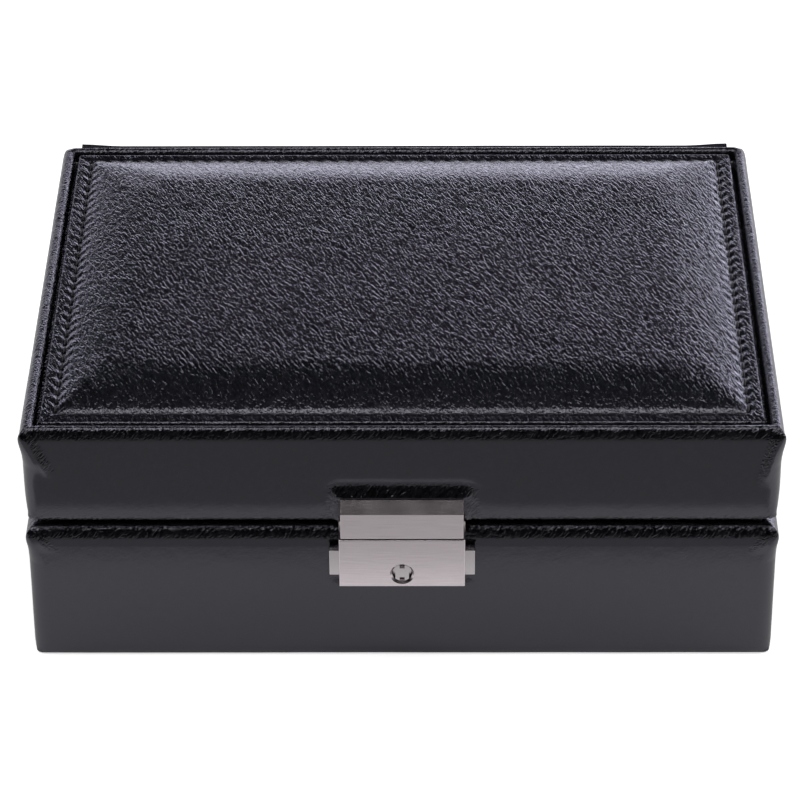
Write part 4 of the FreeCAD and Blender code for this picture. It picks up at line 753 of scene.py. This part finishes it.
def top_panel():
    """The lid's padded panel: its edge, margin, seam, pillow border and crowned top."""
    loop = Loop(0.5, 0.5)
    right, front, back = panel_right, panel_front, panel_back
    # Rows lie close together at the rolled edge and round the seam, and wider on the pillow.
    insets = [0.0, 0.05, 0.16, 0.32, 0.55, 0.9, 1.4, 1.9]
    insets += list(np.arange(2.3, 7.4, 0.2)) + list(np.arange(7.5, 13.0, 0.5))
    insets += list(np.arange(13.0, 24.5, 0.75))
    points = []
    ring, _ = loop.points(right, front, back, 1.2)
    for z in (groove_floor + 0.1, panel_top - 1.2):
        points.append(np.column_stack([ring, np.full(len(ring), z)]))
    for inset in insets:
        ring, outward = loop.points(right - inset, front + inset, back - inset,
                                    0.9 + 0.8 * float(np.clip(inset - 4, 0, 11)))
        points.append(np.column_stack([ring, panel_height(inset, ring, outward)]))
    faces = strip_faces(len(points), loop.count)
    points = np.concatenate(points)
    gap = insets[-1] + 1.5
    grid_x = np.linspace(gap - right, right - gap, int((right - gap) / 1.5))
    grid_y = np.linspace(front + gap, back - gap, int((back - front - 2 * gap) / 3))
    points, faces = fill_inside(points, faces, loop.count, grid_x, grid_y)
    on_top = smoothstep(points[:, 2], panel_top + 1.5, pillow_top + 0.5)
    crown = 1 - (points[:, 0] / right) ** 2 * 0.5 - (points[:, 1] / back) ** 2 * 0.5
    points[:, 2] += on_top * (CROWN * (crown - 1) + 0.06 * noise_at(points, 22.0, 21)
                              + 0.03 * noise_at(points, 8.0, 22))
    grain = smoothstep(points[:, 2], panel_top - 1, panel_top + 0.3)
    piece = make_piece("top_panel_cushion", points, faces, materials["panel_leather"], "lid", grain)
    face_outwards(piece)
    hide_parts("top_panel_leather", "top_panel_pad")


THREAD_RADIUS = 0.24
THREAD_LIFT = 0.42                    # height of a stitch's middle over the panel's board
THREAD_SAG = 0.22                     # how far its ends dip into their holes
THREAD_SLANT = 0.10                   # and how far they stand beside the seam's line
THREAD_SHARE = 0.86                   # share of the pitch that one stitch fills
THREAD_STEPS, THREAD_SIDES = 7, 6


def stitches():
    """The thread of the panel's seam: one short slanted length between each two holes."""
    right = panel_right - STITCH_INSET
    front = panel_front + STITCH_INSET
    back = panel_back - BACK_STITCH_INSET
    z = panel_top + THREAD_LIFT
    reach = STITCH_PITCH / 2 * THREAD_SHARE
    middles = []
    for index in range(-int(right / STITCH_PITCH), int(right / STITCH_PITCH)):
        x = (index + 0.5) * STITCH_PITCH
        middles += [((x, front, z), (1, 0, 0)), ((x, back, z), (1, 0, 0))]
    for index in range(math.ceil(front / STITCH_PITCH), math.floor(back / STITCH_PITCH)):
        y = (index + 0.5) * STITCH_PITCH
        middles += [((right, y, z), (0, 1, 0)), ((-right, y, z), (0, 1, 0))]
    points, faces = [], []
    for middle, along in middles:
        first = len(points)
        along = np.array(along, float)
        side = np.array([along[1], -along[0], 0])
        for t in np.linspace(-1, 1, THREAD_STEPS):
            centre = (np.array(middle) + along * reach * t + side * THREAD_SLANT * t
                      - np.array([0, 0, THREAD_SAG * t * t]))
            radius = THREAD_RADIUS * math.sqrt(1.04 - t ** 4)
            for turn in range(THREAD_SIDES):
                angle = 2 * math.pi * turn / THREAD_SIDES
                points.append(centre + radius * (side * math.cos(angle)
                                                 + np.array([0, 0, math.sin(angle)])))
        faces += [tuple(first + index for index in face)
                  for face in strip_faces(THREAD_STEPS, THREAD_SIDES)]
        faces.append(tuple(range(first, first + THREAD_SIDES))[::-1])
        faces.append(tuple(range(len(points) - THREAD_SIDES, len(points))))
    piece = make_piece("top_panel_stitches", points, faces, thread_material, "lid")
    face_outwards(piece)


# ---------------------------------------------------------------- soft parts inside

SEWN_SHARE = 0.45                     # share of the pad's thickness that is left at its edge
SEWN_END, PUFFED_FROM = 1.5, 12.0     # distances from the edge between which it rises


def ceiling_pad():
    """The puffed cloth pad in the lid, thin at its sewn edge."""
    low, high = extent("lid_ceiling_pad")
    xs = np.linspace(low[0], high[0], 127)
    ys = np.linspace(low[1], high[1], 93)
    grid = np.array([(x, y) for y in ys for x in xs])
    from_edge = np.minimum(high[0] - np.abs(grid[:, 0]), high[1] - np.abs(grid[:, 1]))
    full = high[2] - low[2]
    flat = np.column_stack([grid, np.zeros(len(grid))])
    rise = smoothstep(from_edge, SEWN_END, PUFFED_FROM)
    puff = full * (SEWN_SHARE + (1 - SEWN_SHARE) * rise)
    puff += 0.10 * smoothstep(from_edge, 2.0, 9.0) * noise_at(flat, 16.0, 51)
    upper = np.column_stack([grid, np.full(len(grid), high[2])])
    under = np.column_stack([grid, high[2] - puff])
    points = np.concatenate([upper, under])
    faces = sheet_faces(len(ys), len(xs))
    piece = make_piece("lid_ceiling_cushion", points, faces, materials["lining_cloth"], "lid")
    face_outwards(piece)
    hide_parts("lid_ceiling_pad")


RIBBON = 0.34                         # thickness of the pulls' ribbon
WALL_CLEAR = 0.18                     # room between the ribbon and the tray's wall


def ribbon_pulls():
    """Folded ribbon loops against the tray's front and back walls."""
    low, high = extent("tray_pulls")
    # Distance from the wall and height: up along it, over and down again.
    path = [(0.0, low[2]), (0.02, low[2] + 4), (0.0, high[2] - 1.6), (0.06, high[2] - 0.6),
            (0.42, high[2] - 0.05), (0.80, high[2] - 0.5), (0.86, high[2] - 1.6),
            (0.72, high[2] - 5), (0.78, low[2] + 3), (0.8, low[2])]
    line = np.array(smooth_rows(path, 0.3))
    along = np.gradient(line, axis=0)
    along /= np.linalg.norm(along, axis=1)[:, None]
    normal = np.column_stack([-along[:, 1], along[:, 0]])
    inner = line - normal * RIBBON
    widths = np.linspace(low[0], high[0], 13)
    faces = sheet_faces(len(line), len(widths))
    for side, name in ((-1, "front"), (1, "back")):
        points = []
        for layer in (line, inner):
            for across, up in layer:
                for x in widths:
                    wave = 0.05 * math.sin(x * 0.9 + up * 0.35)
                    out = high[1] - WALL_CLEAR - across + wave * across
                    points.append((x, side * out, up))
        piece = make_piece("ribbon_pull_" + name, points, faces, materials["ribbon"], "tray")
        face_outwards(piece)
        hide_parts("tray_pulls")


# ---------------------------------------------------------------- build the pieces

base_leather()
lid_leather()
back_panels()
top_panel()
stitches()
ceiling_pad()
ribbon_pulls()


# ---------------------------------------------------------------- floor, lights and camera

# Painted shade on the floor: its brightness along Y, from the front end of its sweep (0) to the
# back end (1), steps darker towards the front, and the box mirrors these steps.
PAINTED_FLOOR_STEPS = [(0.335, 0.0), (0.42, 0.31), (0.4588, 0.38), (0.4604, 0.76), (1.0, 0.76)]
SWEEP_REACH = 1.5                     # metres in front of the box and behind it
FLOOR_SIZE = 6.0
FLOOR_DROP = 0.0002                   # keeps the floor off the bottom sheet


def floor():
    """Floor that glows white to the camera; its colour carries painted shade in steps, which the
    box mirrors.
    """
    bpy.ops.mesh.primitive_plane_add(size=FLOOR_SIZE, location=(0, 0, -FLOOR_DROP))
    plane = bpy.context.object
    plane.name = "floor"
    material, nodes, links, shader = node_material("floor")
    coordinates = nodes.new("ShaderNodeTexCoord")
    parts = nodes.new("ShaderNodeSeparateXYZ")
    links.new(coordinates.outputs["Object"], parts.inputs["Vector"])
    place = range_node(nodes, links, parts.outputs["Y"], 0.0, 1.0, -SWEEP_REACH, SWEEP_REACH)
    # Painted shade: the floor's colour darkens in steps in front of the box.
    shade = ramp_node(nodes, links, place, [(at, (level,) * 3) for at, level in PAINTED_FLOOR_STEPS])
    links.new(shade, shader.inputs["Base Color"])
    shader.inputs["Roughness"].default_value = 0.9
    shader.inputs["Specular IOR Level"].default_value = 0.0
    glow = nodes.new("ShaderNodeEmission")
    # The camera's glow makes up for the painted shade, so the camera sees the floor white.
    lift = ramp_node(nodes, links, place, [(at, (1.0 - 0.5 * level,) * 3) for at, level in PAINTED_FLOOR_STEPS])
    links.new(lift, glow.inputs["Color"])
    total = nodes.new("ShaderNodeAddShader")
    links.new(shader.outputs["BSDF"], total.inputs[0])
    links.new(glow.outputs["Emission"], total.inputs[1])
    path = nodes.new("ShaderNodeLightPath")
    seen = mix_node(nodes, links, path.outputs["Is Camera Ray"], shader.outputs["BSDF"],
                    total.outputs["Shader"])
    links.new(seen, nodes["Material Output"].inputs["Surface"])
    plane.data.materials.append(material)


def area_light(name, place, target, size_x, size_y, power):
    """A soft box at a place, turned to its target; sizes in metres and power in watts."""
    data = bpy.data.lights.new(name, "AREA")
    data.shape = "RECTANGLE"
    data.size, data.size_y = size_x, size_y
    data.energy = power
    lamp = bpy.data.objects.new(name, data)
    lamp.location = place
    lamp.rotation_euler = (Vector(target) - Vector(place)).to_track_quat("-Z", "Y").to_euler()
    bpy.context.scene.collection.objects.link(lamp)


def lights():
    """A wide box overhead in front of the lid, and a weaker one at each side."""
    area_light("overhead", (0, -0.21, 0.95), (0, -0.21, 0), 1.3, 0.42, 4.4)
    area_light("right_box", (1.1, 0.25, 0.45), (0, 0, 0.05), 0.7, 0.7, 2.8)
    area_light("left_box", (-1.1, 0.2, 0.4), (0, 0, 0.05), 0.6, 0.6, 1.1)


EVEN_LEVEL = 0.60
HORIZON_LEVEL = 2.4
SKY_TINT = (0.96, 0.95, 1.13)
# Brightness of the mirrored room, from the horizon (0) to straight overhead (1).
SKY = [(0.0, 1.0), (0.15, 0.92), (0.28, 0.40), (0.40, 0.10), (0.50, 0.02), (0.62, 0.01),
       (1.0, 0.03)]


def mirrored_room(nodes, links):
    """Colour of the room that shiny surfaces mirror: dark, with a pale horizon behind the box."""
    direction = nodes.new("ShaderNodeTexCoord")
    parts = nodes.new("ShaderNodeSeparateXYZ")
    links.new(direction.outputs["Generated"], parts.inputs["Vector"])
    level = ramp_node(nodes, links, parts.outputs["Z"], [(at, (v,) * 3) for at, v in SKY])
    # The room is bright behind the box only, and brighter to the right than to the left.
    behind = range_node(nodes, links, parts.outputs["Y"], 0.02, 1.0, -0.02, 0.22)
    to_right = range_node(nodes, links, parts.outputs["X"], 0.35, 1.65, -0.6, 0.6)
    product = nodes.new("ShaderNodeMath")
    product.operation = "MULTIPLY"
    links.new(behind, product.inputs[0])
    links.new(to_right, product.inputs[1])
    scaled = nodes.new("ShaderNodeVectorMath")
    scaled.operation = "SCALE"
    links.new(level, scaled.inputs[0])
    links.new(product.outputs["Value"], scaled.inputs["Scale"])
    tinted = nodes.new("ShaderNodeVectorMath")
    tinted.operation = "MULTIPLY"
    tinted.inputs[1].default_value = SKY_TINT
    links.new(scaled.outputs["Vector"], tinted.inputs[0])
    return tinted.outputs["Vector"]


def background(nodes, strength):
    """A world shader of one strength, white unless its colour is linked."""
    shader = nodes.new("ShaderNodeBackground")
    shader.inputs["Color"].default_value = (1, 1, 1, 1)
    shader.inputs["Strength"].default_value = strength
    return shader


def world():
    """Even light for matt surfaces, the room for shiny ones and white for the camera."""
    scene_world = bpy.data.worlds.new("studio")
    bpy.context.scene.world = scene_world
    scene_world.use_nodes = True
    scene_world.cycles.sampling_method = "NONE"
    nodes, links = scene_world.node_tree.nodes, scene_world.node_tree.links
    nodes.clear()
    even = background(nodes, EVEN_LEVEL)
    room = background(nodes, HORIZON_LEVEL)
    links.new(mirrored_room(nodes, links), room.inputs["Color"])
    white = background(nodes, 1.0)
    path = nodes.new("ShaderNodeLightPath")
    light = mix_node(nodes, links, path.outputs["Is Glossy Ray"], even.outputs["Background"],
                     room.outputs["Background"])
    seen = mix_node(nodes, links, path.outputs["Is Camera Ray"], light,
                    white.outputs["Background"])
    links.new(seen, nodes.new("ShaderNodeOutputWorld").inputs["Surface"])


# The camera, fitted to the photograph's outline; lengths in metres.
FOCAL_PIXELS = 3811.0
IMAGE_PIXELS = 800.0
SENSOR = 36.0
CAMERA_TARGET = Vector((-0.0010, 0.0004, 0.0321))
CAMERA_DISTANCE = 1.0705
CAMERA_HEIGHT_ANGLE = math.radians(33.24)
CAMERA_TURN = math.radians(0.5)
CAMERA_ROLL = math.radians(-0.33)


def camera():
    """The photograph's camera."""
    data = bpy.data.cameras.new("camera")
    data.sensor_width = SENSOR
    data.lens = FOCAL_PIXELS / IMAGE_PIXELS * SENSOR
    data.clip_start, data.clip_end = 0.05, 20
    eye = bpy.data.objects.new("camera", data)
    bpy.context.scene.collection.objects.link(eye)
    towards_eye = Vector((math.sin(CAMERA_TURN) * math.cos(CAMERA_HEIGHT_ANGLE),
                          -math.cos(CAMERA_TURN) * math.cos(CAMERA_HEIGHT_ANGLE),
                          math.sin(CAMERA_HEIGHT_ANGLE)))
    eye.location = CAMERA_TARGET + towards_eye * CAMERA_DISTANCE
    look = (-towards_eye).to_track_quat("-Z", "Y").to_matrix().to_4x4()
    eye.rotation_euler = (look @ Matrix.Rotation(CAMERA_ROLL, 4, "Z")).to_euler()
    bpy.context.scene.camera = eye


floor()
lights()
world()
camera()

bpy.context.scene.view_settings.view_transform = "Standard"
